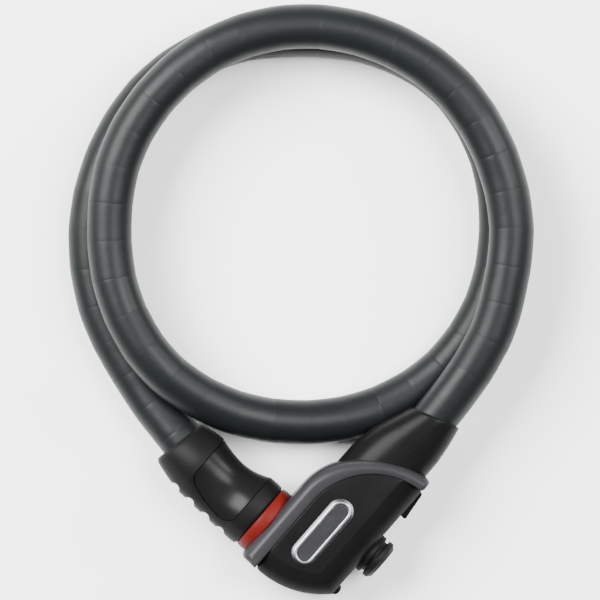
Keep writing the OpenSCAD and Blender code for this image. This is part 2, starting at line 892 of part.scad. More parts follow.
module cable_boot() {
    color(hard_black)
        difference() {
            sleeve_form(0);
            along_sleeve(-ferrule_back)
                cylinder(r = ferrule_flange_r + gap, h = ferrule_back + skin_end);
            along_sleeve(skin_end - gap)
                cylinder(r = cable_r + run_gap, h = far);
        }
}

module cable_ferrule() {
    color(steel)
        difference() {
            union() {
                along_sleeve(-ferrule_back)
                    cylinder(r = ferrule_r, h = ferrule_back + flange_at);
                along_sleeve(flange_at)
                    cylinder(r = ferrule_flange_r, h = skin_end - flange_at - gap);
            }
            along_sleeve(wire_seat)
                cylinder(r = core_r + wire_slack, h = far);
            along_sleeve(socket_at)
                cylinder(r = socket_r, h = far);
            z_rod(anchor_x, 0, anchor_r + press, mid);
        }
}

module anchor_pin() {
    color(steel)
        z_rod(anchor_x, 0, anchor_r, case_up - fit);
}

module cable_skin() {
    color(slate)
        pipe(joints, cable_r, bore_r, skin_sides);
}

// Armour shells: barrels whose noses reach into the next barrel, so that the cable can bend
module armour_shells() {
    nose = 3.6;
    nose_gap = 0.9;
    throat_gap = 0.6;
    throat = core_r + throat_gap;
    inner = shell_r - shell_wall;
    slack = 1.7;
    back = -shell_step / 2 + slack / 2;
    front = shell_step / 2 - slack;
    color(steel)
        for (i = [0:shells - 1])
            toward((joints[i] + joints[i + 1]) / 2, joints[i + 1])
                rotate_extrude()
                    polygon([
                        [inner, back], [shell_r, back], [shell_r, front],
                        [inner - nose_gap, front + nose_gap], [inner - nose_gap, front + nose],
                        [throat, front + nose], [throat, front - shell_wall], [inner, front - 2 * shell_wall]
                    ]);
}

module wire_core() {
    wire_y = core_bore_y + over;
    points = concat(
        [[0, wire_y, mid], [0, bolt_head_end - over, mid]],
        [for (i = [1:shells]) joints[i]],
        [on_sleeve(skin_end / 2), on_sleeve(wire_seat + over)]
    );
    color(steel)
        rod(points, core_r, core_sides);
}

module plug_bolt() {
    nose_l = 3.4;
    nose_in = 2.4;
    color(steel)
        difference() {
            translate([0, bolt_tip_y, mid])
                rotate([-90, 0, 0])
                    rotate_extrude()
                        polygon([
                            [0, 0], [bolt_r - nose_in, 0], [bolt_r, nose_l], [bolt_r, groove_y - bolt_tip_y],
                            [neck_d / 2, groove_y - bolt_tip_y], [neck_d / 2, groove_y + groove_w - bolt_tip_y],
                            [bolt_r, groove_y + groove_w - bolt_tip_y], [bolt_r, bolt_head_y - bolt_tip_y],
                            [bolt_head_r, bolt_head_y - bolt_tip_y], [bolt_head_r, bolt_head_end - bolt_tip_y],
                            [0, bolt_head_end - bolt_tip_y]
                        ]);
            y_rod(0, mid, core_r + wire_slack, core_bore_y, bolt_head_end + over);
            z_rod(0, bolt_pin_y, bolt_pin_r + press, mid);
        }
}

// Saddle: the hard thumb panel, seen from the front as everything to the right of a curved seam
saddle_edge = [[-4.5, 1], [-7.5, 0.94], [-9.6, 0.8], [-11.4, 0.55], [-12.4, 0.3], [-12, 0.1], [-9.6, 0]];
module saddle_prism(grow) {
    linear_extrude(far, center = true)
        polygon(concat(
            [[grip_d, saddle_y1 + grow]],
            [for (p = saddle_edge) [p.x - grow, saddle_y0 - grow + p.y * (saddle_l + 2 * grow)]],
            [[grip_d, saddle_y0 - grow]]
        ));
}

rim_r = grip_d / 2;
dip_steps = 8;
module grip_core() {
    waist_r = waist_d / 2;
    dip = rim_r - waist_r;
    dip_r = (saddle_l * saddle_l / 4 + dip * dip) / 2 / dip;
    dip_half = asin(saddle_l / 2 / dip_r);
    middle = (saddle_y0 + saddle_y1) / 2;
    color(hard_black)
        difference() {
            union() {
                y_rod(0, mid, boss_r, ring_y0 + gap, rim_y0 + 2 * over);
                y_rod(0, mid, sleeve_r, rim_y0 + over, saddle_y1 - gap);
                intersection() {
                    translate([0, 0, mid])
                        rotate([-90, 0, 0])
                            rotate_extrude()
                                polygon(concat(
                                    [[0, saddle_y0], [0, saddle_y1]],
                                    [for (i = [-dip_steps:dip_steps])
                                        let (a = -i / dip_steps * dip_half)
                                        [
                                            waist_r + dip_r - dip_r * cos(a),
                                            middle + dip_r * sin(a)
                                        ]]
                                ));
                    translate([0, 0, mid])
                        saddle_prism(-gap);
                }
            }
            y_rod(0, mid, bolt_r + press, ring_y0 - over, bolt_head_y + over);
            y_rod(0, mid, bolt_head_r + press, bolt_head_y - press, saddle_y1 + over);
            z_rod(0, bolt_pin_y, bolt_pin_r + press, mid + over);
        }
}

// Soft cap over the cable: each ring holds its shift from the cable's exit and its radius
cap_way = [sin(cap_tilt), cos(cap_tilt), -0.06];
cap_rings = [[[-1.6, -3, 0.6], cable_r + 3.4], [[-1.4, -0.1, 0.2], cable_r + 1.4]];
cap_in = 0.5;
cap_r = rim_r - cap_in;
cap_lead = 3;
rim_edge = 1;
scallop_r = 3;
scallop_at = 2.3;
scallop_past = 11;
scallop_run = saddle_l + scallop_past;
scallop_step = scallop_run / scallops;
module grip_overmould() {
    color(soft_black)
        difference() {
            union() {
                translate([0, 0, mid])
                    rotate([-90, 0, 0])
                        rotate_extrude()
                            polygon([
                                [0, rim_y0], [rim_r - rim_edge, rim_y0], [rim_r, rim_y0 + rim_edge],
                                [rim_r, saddle_y0], [cap_r, saddle_y1], [0, saddle_y1]
                            ]);
                hull() {
                    y_rod(0, mid, cap_r, saddle_y1 - thin, saddle_y1, $fn = 32);
                    for (ring = cap_rings)
                        toward(cap_exit + ring[0], cap_exit + cable_d * cap_way)
                            cylinder(r = ring[1], h = thin, $fn = 32);
                }
            }
            translate([0, 0, mid])
                saddle_prism(gap);
            y_rod(0, mid, sleeve_r + gap, rim_y0 - over, saddle_y1);
            for (i = [0:scallops - 1])
                z_rod(scallop_depth - scallop_r - rim_r, saddle_y0 + scallop_at + i * scallop_step,
                    scallop_r, mid);
            toward(cap_seat, cap_exit)
                translate([0, 0, -cap_lead])
                    cylinder(r = cable_r + gap, h = far);
        }
}

module seal_ring() {
    edge = 1;
    r = rim_r - ring_in;
    color(seal_red)
        translate([0, 0, mid])
            rotate([-90, 0, 0])
                rotate_extrude()
                    polygon([
                        [boss_r + gap, ring_y0], [r - edge, ring_y0], [r, ring_y0 + edge],
                        [r, ring_y0 + ring_w - edge], [r - edge, ring_y0 + ring_w],
                        [boss_r + gap, ring_y0 + ring_w]
                    ]);
}

module bolt_pin() {
    color(steel)
        z_rod(0, bolt_pin_y, bolt_pin_r, sleeve_r - over);
}

front_cover();
rear_cover();
trim_band();
badge_bezel();
badge_plate();
cover_screws();
lock_case();
case_plate();
socket_bush();
cylinder_sleeve();
cylinder_core();
detainer_discs();
disc_spacers();
sidebar();
drive_cam();
latch();
latch_spring();
dust_cover();
dust_cover_pin();
bracket_stud();
stud_screw();
cable_boot();
cable_ferrule();
anchor_pin();
cable_skin();
armour_shells();
wire_core();
plug_bolt();
grip_core();
grip_overmould();
seal_ring();
bolt_pin();
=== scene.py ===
# %% [markdown]
# # An armoured cable lock
# A thick cable of steel shells in a vinyl skin runs in a coil from a lock body to a push-in plug.
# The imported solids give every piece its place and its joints. This lesson gives the pieces the
# rounded edges, seams and finishes of the real lock, and leaves its badge bare. Sizes are in
# millimetres, and `MM` turns them into Blender's metres.

# %% Load the frame
from math import acos, asin, atan2, cos, degrees, pi, radians, sin, sqrt

import bmesh
import bpy
import numpy as np
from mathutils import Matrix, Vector


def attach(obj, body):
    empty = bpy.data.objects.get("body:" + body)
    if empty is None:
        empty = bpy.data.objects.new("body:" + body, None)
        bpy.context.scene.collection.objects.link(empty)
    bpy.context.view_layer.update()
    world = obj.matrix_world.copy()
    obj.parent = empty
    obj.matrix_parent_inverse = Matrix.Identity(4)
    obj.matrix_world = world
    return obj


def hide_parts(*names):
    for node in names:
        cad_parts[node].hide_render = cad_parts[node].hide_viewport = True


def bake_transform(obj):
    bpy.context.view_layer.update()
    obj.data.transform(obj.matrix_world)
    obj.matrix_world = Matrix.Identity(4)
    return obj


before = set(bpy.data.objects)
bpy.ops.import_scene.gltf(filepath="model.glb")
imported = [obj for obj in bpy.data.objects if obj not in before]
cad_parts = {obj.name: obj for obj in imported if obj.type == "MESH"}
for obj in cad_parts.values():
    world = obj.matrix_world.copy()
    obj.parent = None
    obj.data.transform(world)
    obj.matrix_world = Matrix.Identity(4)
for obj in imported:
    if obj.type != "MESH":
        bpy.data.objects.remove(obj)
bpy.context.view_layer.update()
MM = 0.001

# %% [markdown]
# ## Camera
# The lock lies flat and is seen from straight above, turned so that the coil is on top. A camera close
# by would show the raised strand of the cable larger than the strand on the table. A long lens far away
# keeps both at the same scale, and its focal length follows from the width that has to be in view.

# %% Camera
VIEW_TURN = radians(-49)
VIEW_CENTRE = (84.9 * MM, 80.3 * MM)
VIEW_WIDTH = 269.4 * MM
CAMERA_HEIGHT = 2.6
MIDDLE_HEIGHT = 20 * MM

camera = bpy.data.objects.new("camera", bpy.data.cameras.new("camera"))
camera.data.lens = camera.data.sensor_width * (CAMERA_HEIGHT - MIDDLE_HEIGHT) / VIEW_WIDTH
camera.location = (*VIEW_CENTRE, CAMERA_HEIGHT)
camera.rotation_euler = (0, 0, VIEW_TURN)
bpy.context.collection.objects.link(camera)
bpy.context.scene.camera = camera
print("lens", round(camera.data.lens), "mm")

# %% [markdown]
# ## Shader maths
# A material is a sheet of nodes with links between their sockets. Sums are hard to read as a list of
# links, so one small class wraps a socket and lets it be added, subtracted and multiplied like a number.
# Every other node comes from `Finish.node`, and what never varies is set straight on its socket.

# %% Sockets and finishes
# Numbers of the sockets that a mix node uses for colours
MIX_SHARE, MIX_FIRST, MIX_SECOND, MIX_RESULT = 0, 6, 7, 2


class Value:
    """An output socket that takes part in sums."""

    def __init__(self, finish, socket):
        self.finish, self.socket = finish, socket

    def maths(self, operation, first, second):
        return self.finish.node("ShaderNodeMath", {"operation": operation}, {0: first, 1: second})

    def __add__(self, other):
        return self.maths("ADD", self, other)

    def __sub__(self, other):
        return self.maths("SUBTRACT", self, other)

    def __rsub__(self, other):
        return self.maths("SUBTRACT", other, self)

    def __mul__(self, other):
        return self.maths("MULTIPLY", self, other)

    __radd__, __rmul__ = __add__, __mul__


class Finish:
    """A material made of nodes, with one principled surface."""

    def __init__(self, name, **constants):
        self.material = bpy.data.materials.new(name)
        self.material.use_nodes = True
        self.tree = self.material.node_tree
        self.surface = self.tree.nodes["Principled BSDF"]
        self.show(**constants)

    def show(self, **inputs):
        for key, value in inputs.items():
            self.plug(self.surface.inputs[key.replace("_", " ")], value)
        return self.material

    def plug(self, socket, value):
        if isinstance(value, Value):
            self.tree.links.new(value.socket, socket)
        else:
            socket.default_value = value

    def node(self, kind, settings, sockets, out=0):
        made = self.tree.nodes.new(kind)
        for key, value in settings.items():
            setattr(made, key, value)
        for key, value in sockets.items():
            self.plug(made.inputs[key], value)
        return Value(self, made.outputs[out])

    def noise(self, scale, detail, stretch=(1, 1, 1)):
        place = self.node("ShaderNodeTexCoord", {}, {}, "Object")
        place = self.node("ShaderNodeMapping", {}, {"Vector": place, "Scale": stretch})
        return self.node("ShaderNodeTexNoise", {}, {"Vector": place, "Scale": scale, "Detail": detail})

    def painted(self, name):
        return self.node("ShaderNodeAttribute", {"attribute_name": name}, {}, "Fac")

    def mix(self, share, first, second):
        """A colour between two, of which the first may be a mix itself."""
        first = first if isinstance(first, Value) else (*first, 1)
        sockets = {MIX_SHARE: share, MIX_FIRST: first, MIX_SECOND: (*second, 1)}
        return self.node("ShaderNodeMix", {"data_type": "RGBA"}, sockets, MIX_RESULT)

    def bump(self, height, depth, strength=0.5):
        sockets = {"Height": height, "Distance": depth, "Strength": strength}
        return self.node("ShaderNodeBump", {}, sockets)


print("helpers ready:", Value.__name__, Finish.__name__)

# %% [markdown]
# ## Finishes
# The skin of the cable is a satin vinyl: slate grey with a green tinge, a little cloudy, with a thin
# dark line over each joint of the armour. A picture could hold the lines, but it would have to be
# wrapped round the coil. They are painted on the points of the mesh instead, and so is a slight change
# of tone from shell to shell.

# %% Cable vinyl
SLATE_DARK, SLATE_LIGHT = (0.0034, 0.0043, 0.0045), (0.0072, 0.0086, 0.0089)
JOINT_DARK = (0.002, 0.0024, 0.0024)


def make_cable_vinyl():
    vinyl = Finish("cable_vinyl", Specular_IOR_Level=0.14)
    cloud = vinyl.noise(scale=38, detail=3)
    ripple = vinyl.noise(scale=105, detail=2)
    grain = vinyl.noise(scale=2600, detail=2)
    line = vinyl.painted("joint_line")
    tone = vinyl.painted("shell_tone")
    colour = vinyl.mix(cloud * 0.65 + tone * 0.35, SLATE_DARK, SLATE_LIGHT)
    return vinyl.show(
        Base_Color=vinyl.mix(line * 0.7, colour, JOINT_DARK),
        Roughness=0.42 + cloud * 0.08 - tone * 0.06 + line * 0.15,
        Normal=vinyl.bump(grain * 0.5 + cloud + ripple * 3, depth=0.00012, strength=0.55),
    )


cable_vinyl = make_cable_vinyl()
print("cable finish:", cable_vinyl.name)

# %% [markdown]
# The black mouldings differ in how they were made. The covers are hard plastic from a spark-eroded
# mould, the grip's flank is a soft overmould, and its saddle is polished. All three are near black, so
# one recipe does for all, and roughness, shine and the size of the grain tell them apart.

# %% Black mouldings
# colour of the shade painted into the grip's seam groove
SEAM_SHADE = (0.001, 0.001, 0.001)


def black_moulding(name, dark, light, rough, grain_size, grain_depth, shine):
    plastic = Finish(name, Specular_IOR_Level=shine)
    cloud = plastic.noise(scale=55, detail=3)
    grain = plastic.noise(scale=grain_size, detail=2)
    # painted shade: the seam mask darkens the narrow groove between the two mouldings
    seam = plastic.painted("seam")
    return plastic.show(
        Base_Color=plastic.mix(seam, plastic.mix(cloud, dark, light), SEAM_SHADE),
        Roughness=rough - 0.05 + cloud * 0.1 + seam * 0.45,
        Normal=plastic.bump(grain, grain_depth),
    )


hard_black = black_moulding(
    "hard_black", (0.0038, 0.0038, 0.0037), (0.006, 0.006, 0.0058),
    rough=0.3, grain_size=2400, grain_depth=0.00003, shine=0.042,
)  # fmt: skip
soft_black = black_moulding(
    "soft_black", (0.0032, 0.0033, 0.0032), (0.0055, 0.0056, 0.0054),
    rough=0.48, grain_size=1900, grain_depth=0.0001, shine=0.065,
)  # fmt: skip
gloss_black = black_moulding(
    "gloss_black", (0.0042, 0.0042, 0.0041), (0.0058, 0.0058, 0.0057),
    rough=0.3, grain_size=900, grain_depth=0.00002, shine=0.085,
)  # fmt: skip
print("black finishes:", hard_black.name, soft_black.name, gloss_black.name)

# %% [markdown]
# The band is a grey moulding. A highlight along its ridge is painted on its points and mixes in a paler
# grey. The ring is a red rubber seal with a slight shine.

# %% Band grey and seal red
BAND_DARK, BAND_LIGHT = (0.014, 0.0136, 0.0152), (0.0195, 0.0191, 0.0208)
RIDGE_HIGHLIGHT_GREY = (0.03, 0.0293, 0.0323)
RED_DARK, RED_LIGHT = (0.066, 0.0048, 0.0036), (0.088, 0.0066, 0.005)


def make_band_grey():
    grey = Finish("band_grey", Specular_IOR_Level=0.09)
    cloud = grey.noise(scale=60, detail=3)
    grain = grey.noise(scale=2400, detail=2)
    # painted highlight: a paler grey is mixed in along the band's ridge
    ridge = grey.painted("ridge")
    return grey.show(
        Base_Color=grey.mix(ridge * 0.32, grey.mix(cloud, BAND_DARK, BAND_LIGHT), RIDGE_HIGHLIGHT_GREY),
        Roughness=0.32 + cloud * 0.08 - ridge * 0.05,
        Normal=grey.bump(grain, depth=0.00006),
    )


def make_seal_red():
    red = Finish("seal_red", Specular_IOR_Level=0.06)
    cloud = red.noise(scale=90, detail=3)
    grain = red.noise(scale=1700, detail=2)
    return red.show(
        Base_Color=red.mix(cloud, RED_DARK, RED_LIGHT),
        Roughness=0.4 + cloud * 0.12,
        Normal=red.bump(grain, depth=0.00006),
    )


band_grey, seal_red = make_band_grey(), make_seal_red()
print("coloured finishes:", band_grey.name, seal_red.name)

# %% [markdown]
# The metals share one recipe. A noise that is stretched along the turning or brushing direction gives
# the fine lines, and the same noise changes the roughness, so the shine breaks up as on real metal.
# Painted shade darkens the foot of the badge's frame, where it meets the black cover.

# %% Metals
# colour of the painted shade at the foot of the badge's frame
FOOT_SHADE = (0.02, 0.021, 0.023)


def metal(name, dark, light, stretch, scale, depth):
    sheet = Finish(name, Metallic=1.0)
    lines = sheet.noise(scale, 3, stretch)
    cloud = sheet.noise(scale=70, detail=3)
    # painted shade on the foot of the badge's frame
    foot = sheet.painted("foot")
    return sheet.show(
        Base_Color=sheet.mix(foot * 0.85, sheet.mix(cloud, dark, light), FOOT_SHADE),
        Roughness=0.24 + lines * 0.16,
        Normal=sheet.bump(lines, depth),
    )


bezel_silver = metal(
    "bezel_silver", (0.2, 0.204, 0.214), (0.29, 0.294, 0.306), (1, 1, 1), scale=300, depth=0.00001
)
turned_steel = metal(
    "turned_steel", (0.42, 0.43, 0.45), (0.56, 0.57, 0.59), (1, 8, 1), scale=500, depth=0.00002
)
turned_brass = metal(
    "turned_brass", (0.5, 0.36, 0.13), (0.66, 0.49, 0.2), (8, 1, 1), scale=500, depth=0.00002
)
print("metals:", bezel_silver.name, turned_steel.name, turned_brass.name)

# %% [markdown]
# The plate of the badge is stamped with fine dots. Thousands of small bumps would be a heavy mesh for
# so small a piece, so the cells of a Voronoi texture give both their tone and their height.

# %% Badge plate
PLATE_DARK, PLATE_LIGHT = (0.012, 0.012, 0.0135), (0.052, 0.052, 0.056)


def make_badge_grey():
    plate = Finish("badge_grey", Metallic=0.85)
    stipple = plate.node("ShaderNodeTexVoronoi", {}, {"Scale": 1500.0})
    cloud = plate.noise(scale=120, detail=3)
    return plate.show(
        Base_Color=plate.mix(stipple, PLATE_DARK, PLATE_LIGHT),
        Roughness=0.34 + cloud * 0.14,
        Normal=plate.bump(stipple, depth=0.0002, strength=0.7),
    )


badge_grey = make_badge_grey()
print("badge finish:", badge_grey.name)

# %% [markdown]
# ## From points to pieces
# Every new piece here is a grid of points: rows along the piece and columns around it. Such pieces
# could be modelled by hand, but points from sizes can be changed later. One function turns a grid into
# faces, one into a mesh, and one gives the mesh its finish, its body and the solid that it stands for.


# %% Mesh helpers
def grid_faces(rows, columns):
    """Faces between the rows of a grid whose columns close round."""
    return [
        (i * columns + k, i * columns + n, (i + 1) * columns + n, (i + 1) * columns + k)
        for i in range(rows - 1)
        for k, n in ((k, (k + 1) % columns) for k in range(columns))
    ]


def mesh_object(name, points, faces):
    mesh = bpy.data.meshes.new(name)
    metres = np.asarray(points, float).reshape(-1, 3) * MM
    mesh.from_pydata([tuple(p) for p in metres], [], faces)
    mesh.validate()
    made = bpy.data.objects.new(name, mesh)
    bpy.context.collection.objects.link(made)
    return made


def face_outward(made):
    work = bmesh.new()
    work.from_mesh(made.data)
    bmesh.ops.recalc_face_normals(work, faces=work.faces)
    work.to_mesh(made.data)
    work.free()


def loft(name, rings):
    """A closed skin over rings of points that all have the same number of points."""
    rings = np.asarray(rings, float)
    rows, columns = rings.shape[:2]
    caps = [tuple(range(columns)), tuple(range((rows - 1) * columns, rows * columns))]
    made = mesh_object(name, rings, grid_faces(rows, columns) + caps)
    face_outward(made)
    return made


print("faces of a grid with 3 rows and 4 columns:", len(grid_faces(3, 4)))


# %% Dressing helpers
def paint(made, name, values):
    layer = made.data.attributes.new(name, "FLOAT", "POINT")
    layer.data.foreach_set("value", np.asarray(values, np.float32))


def round_edges(made, width, angle, segments, harden):
    rounding = made.modifiers.new("edge", "BEVEL")
    rounding.width, rounding.segments = width * MM, segments
    rounding.limit_method, rounding.angle_limit = "ANGLE", radians(angle)
    rounding.harden_normals = harden


def dress(made, finish, slot, body, stands_for=(), *, crease, edge=0.0):
    """Shading, finish, rounded edges and the body that the piece rides on."""
    made.data.materials.clear()
    made.data.materials.append(finish)
    made.data.shade_smooth()
    made.data.set_sharp_from_angle(angle=radians(crease))
    if edge:
        round_edges(made, edge, crease, segments=3, harden=True)
    if body:
        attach(made, body)
    if stands_for:
        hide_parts(*stands_for)
    print(made.name, len(made.data.polygons), "faces")


print("helpers ready:", paint.__name__, round_edges.__name__, dress.__name__)

# %% [markdown]
# ## The cable
# The cable is the largest thing in view. It follows the same points as the solid: out of the grip,
# nearly two turns, and into the sleeve over its own first turn. A curve object with a round bevel would
# be quick, but it can't show the armour, so rings are set along the route one by one. The route itself
# is a smooth curve through the points.

# %% Route of the cable
SLEEVE_START, SLEEVE_PITCH = np.array([40.0, 0, 19]), atan2(6, 45)
SLEEVE_WAY = np.array([cos(SLEEVE_PITCH), 0, sin(SLEEVE_PITCH)])
SLEEVE_MOUTH, SLEEVE_MIDDLE, SKIN_END = 45.4, 33, 20.2
IN_THE_CAP, LEAD_IN = ((0, 66, 18.8), (2.6, 79.4, 17)), ((120, 3.5, 29), (103, 1, 27.4))
COIL_CENTRE, COIL_START, COIL_STEP = (109.5, 101.5), 176, 22.5
COIL_RADIUS = (
    101, 97, 94.5, 92.5, 91.5, 89.5, 87, 89.5, 92.5, 92, 90.5, 90.5, 90, 88.5,
    87.5, 88, 88.5, 87, 85.5, 86.5, 87.5, 89, 90, 91, 92.5, 93, 94.5, 96.5,
)  # fmt: skip
COIL_HEIGHT = (
    13, 10.5, 10, 10, 10, 10, 10, 10, 10, 10, 10, 10, 10, 10.5,
    15, 23, 30, 30, 29.5, 30, 30.5, 31, 31, 31, 31, 31, 30.5, 30,
)  # fmt: skip
STEPS_PER_POINT = 16


def on_sleeve(s):
    return SLEEVE_START + s * SLEEVE_WAY


def on_coil(i):
    turn = radians(COIL_START - COIL_STEP * i)
    x = COIL_CENTRE[0] + COIL_RADIUS[i] * cos(turn)
    y = COIL_CENTRE[1] + COIL_RADIUS[i] * sin(turn)
    return (x, y, COIL_HEIGHT[i])


def smooth_way(points, steps):
    """A curve that passes through every point, as short straight steps."""
    way = []
    for i in range(len(points) - 1):
        a, b, c, d = (points[min(max(j, 0), len(points) - 1)] for j in (i - 1, i, i + 1, i + 2))
        for t in np.arange(steps) / steps:
            cubic = 2 * a - 5 * b + 4 * c - d + t * (3 * (b - c) + d - a)
            way.append(b + t / 2 * (c - a + t * cubic))
    return np.array(way + [points[-1]])


coil = [on_coil(i) for i in range(len(COIL_RADIUS))]
sleeve_points = [on_sleeve(s) for s in (SLEEVE_MOUTH, SLEEVE_MIDDLE, SKIN_END)]
way = smooth_way(np.array([*IN_THE_CAP, *coil, *LEAD_IN, *sleeve_points]), STEPS_PER_POINT)
reach = np.concatenate([[0], np.cumsum(np.linalg.norm(np.diff(way, axis=0), axis=1))])
print("cable length", round(reach[-1], 1), "mm")

# %% [markdown]
# Inside the skin, steel shells follow one another like beads. A shell is straight, so between two
# joints the centre line is partly a chord. At each joint the skin sinks a little and carries the painted
# line, some stronger and some fainter, because no two joints of a real cable look alike.

# %% Places of the rings
SHELLS, CHORD_SHARE, LINE_SINK = 64, 0.3, 0.05
SHELL_PLACES = (-0.032, -0.011, 0, 0.011, 0.032, 0.09, 0.2, 0.35, 0.5, 0.65, 0.8, 0.91)
SHELL_SINKS = (0.0, 0.04, 0.09, 0.04, 0.0, -0.05, -0.02, 0, 0, 0, -0.02, -0.05)
shell_step = reach[-1] / SHELLS
joints = np.arange(SHELLS + 1) * shell_step
line_strength = 0.25 + 0.6 * np.random.default_rng(5).random(SHELLS + 1) ** 1.6


def along(s):
    return np.stack([np.interp(s, reach, way[:, axis]) for axis in range(3)], axis=-1)


places, sinks, lines = [], [], []
for i, strength in enumerate(line_strength):
    for t, sink in zip(SHELL_PLACES, SHELL_SINKS):
        s = (i + t) * shell_step
        if 0 <= s <= reach[-1]:
            places.append(s)
            sinks.append(sink * strength)
            lines.append(strength if sink > LINE_SINK else 0)
places, sinks, lines = np.array(places), np.array(sinks), np.array(lines)
chord = np.stack([np.interp(places, joints, c) for c in along(joints).T], -1)
centres = CHORD_SHARE * chord + (1 - CHORD_SHARE) * along(places)
print("rings", len(places), "shells", SHELLS)

# %% Skin of the cable
CABLE_R, CABLE_SIDES = 10.0, 40
heading = np.gradient(along(places), places, axis=0)
heading /= np.linalg.norm(heading, axis=1)[:, None]
side = np.cross(heading, [0, 0, 1])
side /= np.linalg.norm(side, axis=1)[:, None]
rise = np.cross(side, heading)
angle = np.arange(CABLE_SIDES) * 2 * pi / CABLE_SIDES
radius = (CABLE_R - sinks)[:, None, None]
rings = centres[:, None] + radius * (
    np.cos(angle)[None, :, None] * side[:, None] + np.sin(angle)[None, :, None] * rise[:, None]
)
cable = loft("cable", rings)
paint(cable, "joint_line", np.repeat(lines, CABLE_SIDES))
shell_tone = np.random.default_rng(11).random(SHELLS + 1)
paint(cable, "shell_tone", np.repeat(shell_tone[(places / shell_step).astype(int)], CABLE_SIDES))
CORD_NODES = ("cable_skin", "armour_shells", "wire_core")
dress(cable, cable_vinyl, "slate_vinyl", None, CORD_NODES, crease=80)

# %% [markdown]
# The plug can be drawn out of the lock, and then its end of the cable goes with it. A cable that rode on
# one body would tear at the other. Here the cable rides on neither, and only the share that would follow
# the plug is worked out: 1 in the grip, fading along the first part of the coil.

# %% Cable between lock and plug
FADE_START, FADE_LENGTH = 22, 330
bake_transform(cable)
fade = np.clip((places - FADE_START) / FADE_LENGTH, 0, 1)
print("rings that follow the plug in part:", int(((fade > 0) & (fade < 1)).sum()))

# %% [markdown]
# ## The grip of the plug
# The grip is a short barrel with a soft flank and cap and a hard, polished thumb saddle. Two separate
# shapes would leave a ragged line where they meet. Both are drawn on one grid instead, so that the seam
# between them is exact: at each place along the plug, some columns lie on the saddle and the rest on the
# flank. The saddle dips like a waist, and four finger scallops are cut in the flank.

# %% Shape of the grip
PLUG_Z = 19.0
SADDLE = (38.2, 64.9)
FLANK_Y = (30.55, 30.8, 31.4, 32.2, 37.0, 38.2, 47, 56.2, 64.9)
FLANK_R = (15.0, 15.5, 15.95, 16.15, 16.15, 16.1, 15.85, 15.5, 15.1)
WAIST_DIP, WAIST_SKEW, WAIST_FADE = 2.95, 0.85, (-0.98, -0.05)
FLANK_BULGE, BULGE_FADE = 0.75, (0.7, 1)
SCALLOPS = ((39.8, -16.75), (49.0, -16.25), (58.4, -15.75), (67.7, -15.2))
SCALLOP_R, SCALLOP_IN = 2.9, 1.45
SCALLOP_HALF = sqrt(SCALLOP_R**2 - (SCALLOP_R - SCALLOP_IN) ** 2)


def smooth_step(low, high, value):
    t = np.clip((value - low) / (high - low), 0, 1)
    return t * t * (3 - 2 * t)


def grip_radius(y, turn):
    """Radius at a place along the plug and an angle that starts at the saddle's middle."""
    share = min(max((y - SADDLE[0]) / (SADDLE[1] - SADDLE[0]), 0), 1)
    dip = WAIST_DIP * sin(pi * share**WAIST_SKEW) * smooth_step(*WAIST_FADE, cos(turn))
    return np.interp(y, FLANK_Y, FLANK_R) - dip


def flank_bulge(turn):
    """How far the middle of the flank stands out of the round."""
    return FLANK_BULGE * smooth_step(*BULGE_FADE, -cos(turn))


def scallop_depth(y, x):
    """How far a point of the flank is pushed in, toward +X, by the nearest finger scallop."""
    deepest = 0.0
    for at, edge in SCALLOPS:
        off = abs(y - at)
        if off < SCALLOP_R:
            bottom = edge + SCALLOP_IN - SCALLOP_R + sqrt(SCALLOP_R**2 - off**2)
            deepest = max(deepest, bottom - x)
    return deepest


print("a scallop is", round(2 * SCALLOP_HALF, 2), "mm wide")

# %% [markdown]
# Rows lie close together where the shape turns: at the front edge, at both ends of the saddle and at the
# edges of the scallops. On each row the columns crowd at the seam, where both sides turn down into a
# narrow groove, as two mouldings do that were made one over the other.

# %% Rows and columns of the grip
SADDLE_COLUMNS, FLANK_COLUMNS = 49, 61
SEAM_Y = (38.2, 38.6, 39.5, 41.7, 44.4, 49.7, 54.7, 58.7, 62.2, 64.1, 64.6, 64.9)
SEAM_X = (-8.4, -9.4, -10.6, -12.0, -12.4, -11.8, -10.8, -9.5, -7.8, -5.8, -4.4, -2.7)
SEAM_R = 15.2
EDGE_SIDES = (-1, -0.94, 0.94, 1)
FRONT_ROWS = (30.55, 30.7, 31.0, 31.4, 31.9, 32.5, 34, 36, 37.3, 37.8, 38.0, 38.2, 38.4, 38.6, 38.9)
BACK_ROWS = (64.2, 64.5, 64.7, 64.9)
saddle_share = np.concatenate(
    [[0, 0.005, 0.009], np.linspace(0.02, 0.98, SADDLE_COLUMNS - 6), [0.991, 0.995, 1]]
)
flank_share = np.concatenate([[0.012, 0.022], np.linspace(0.04, 0.96, FLANK_COLUMNS - 4), [0.978, 0.988]])
scallop_rows = [at + side * SCALLOP_HALF for at, edge in SCALLOPS[:3] for side in EDGE_SIDES]
grip_rows = np.unique([*FRONT_ROWS, *np.arange(39.2, 64.2, 0.4), *scallop_rows, *BACK_ROWS])


def row_turns(y):
    """Angles of the columns at a place along the plug: saddle columns first, then flank columns."""
    at = min(max(y, SADDLE[0]), SADDLE[1])
    x = np.interp(at, SEAM_Y, SEAM_X)
    half = acos(x / grip_radius(at, acos(max(-1, x / SEAM_R))))
    return np.concatenate([-half + 2 * half * saddle_share, half + (2 * pi - 2 * half) * flank_share])


print("grip rows", len(grip_rows), "columns", len(row_turns(SADDLE[0])))

# %% Barrel of the grip
GROOVE = 0.6
SADDLE_EDGE, FLANK_EDGE, ROW_EDGE = 0.006, 0.015, 0.01


def near_ends(share, margin):
    return (share < margin) | (share > 1 - margin)


on_seam = np.concatenate([near_ends(saddle_share, SADDLE_EDGE), near_ends(flank_share, FLANK_EDGE)])


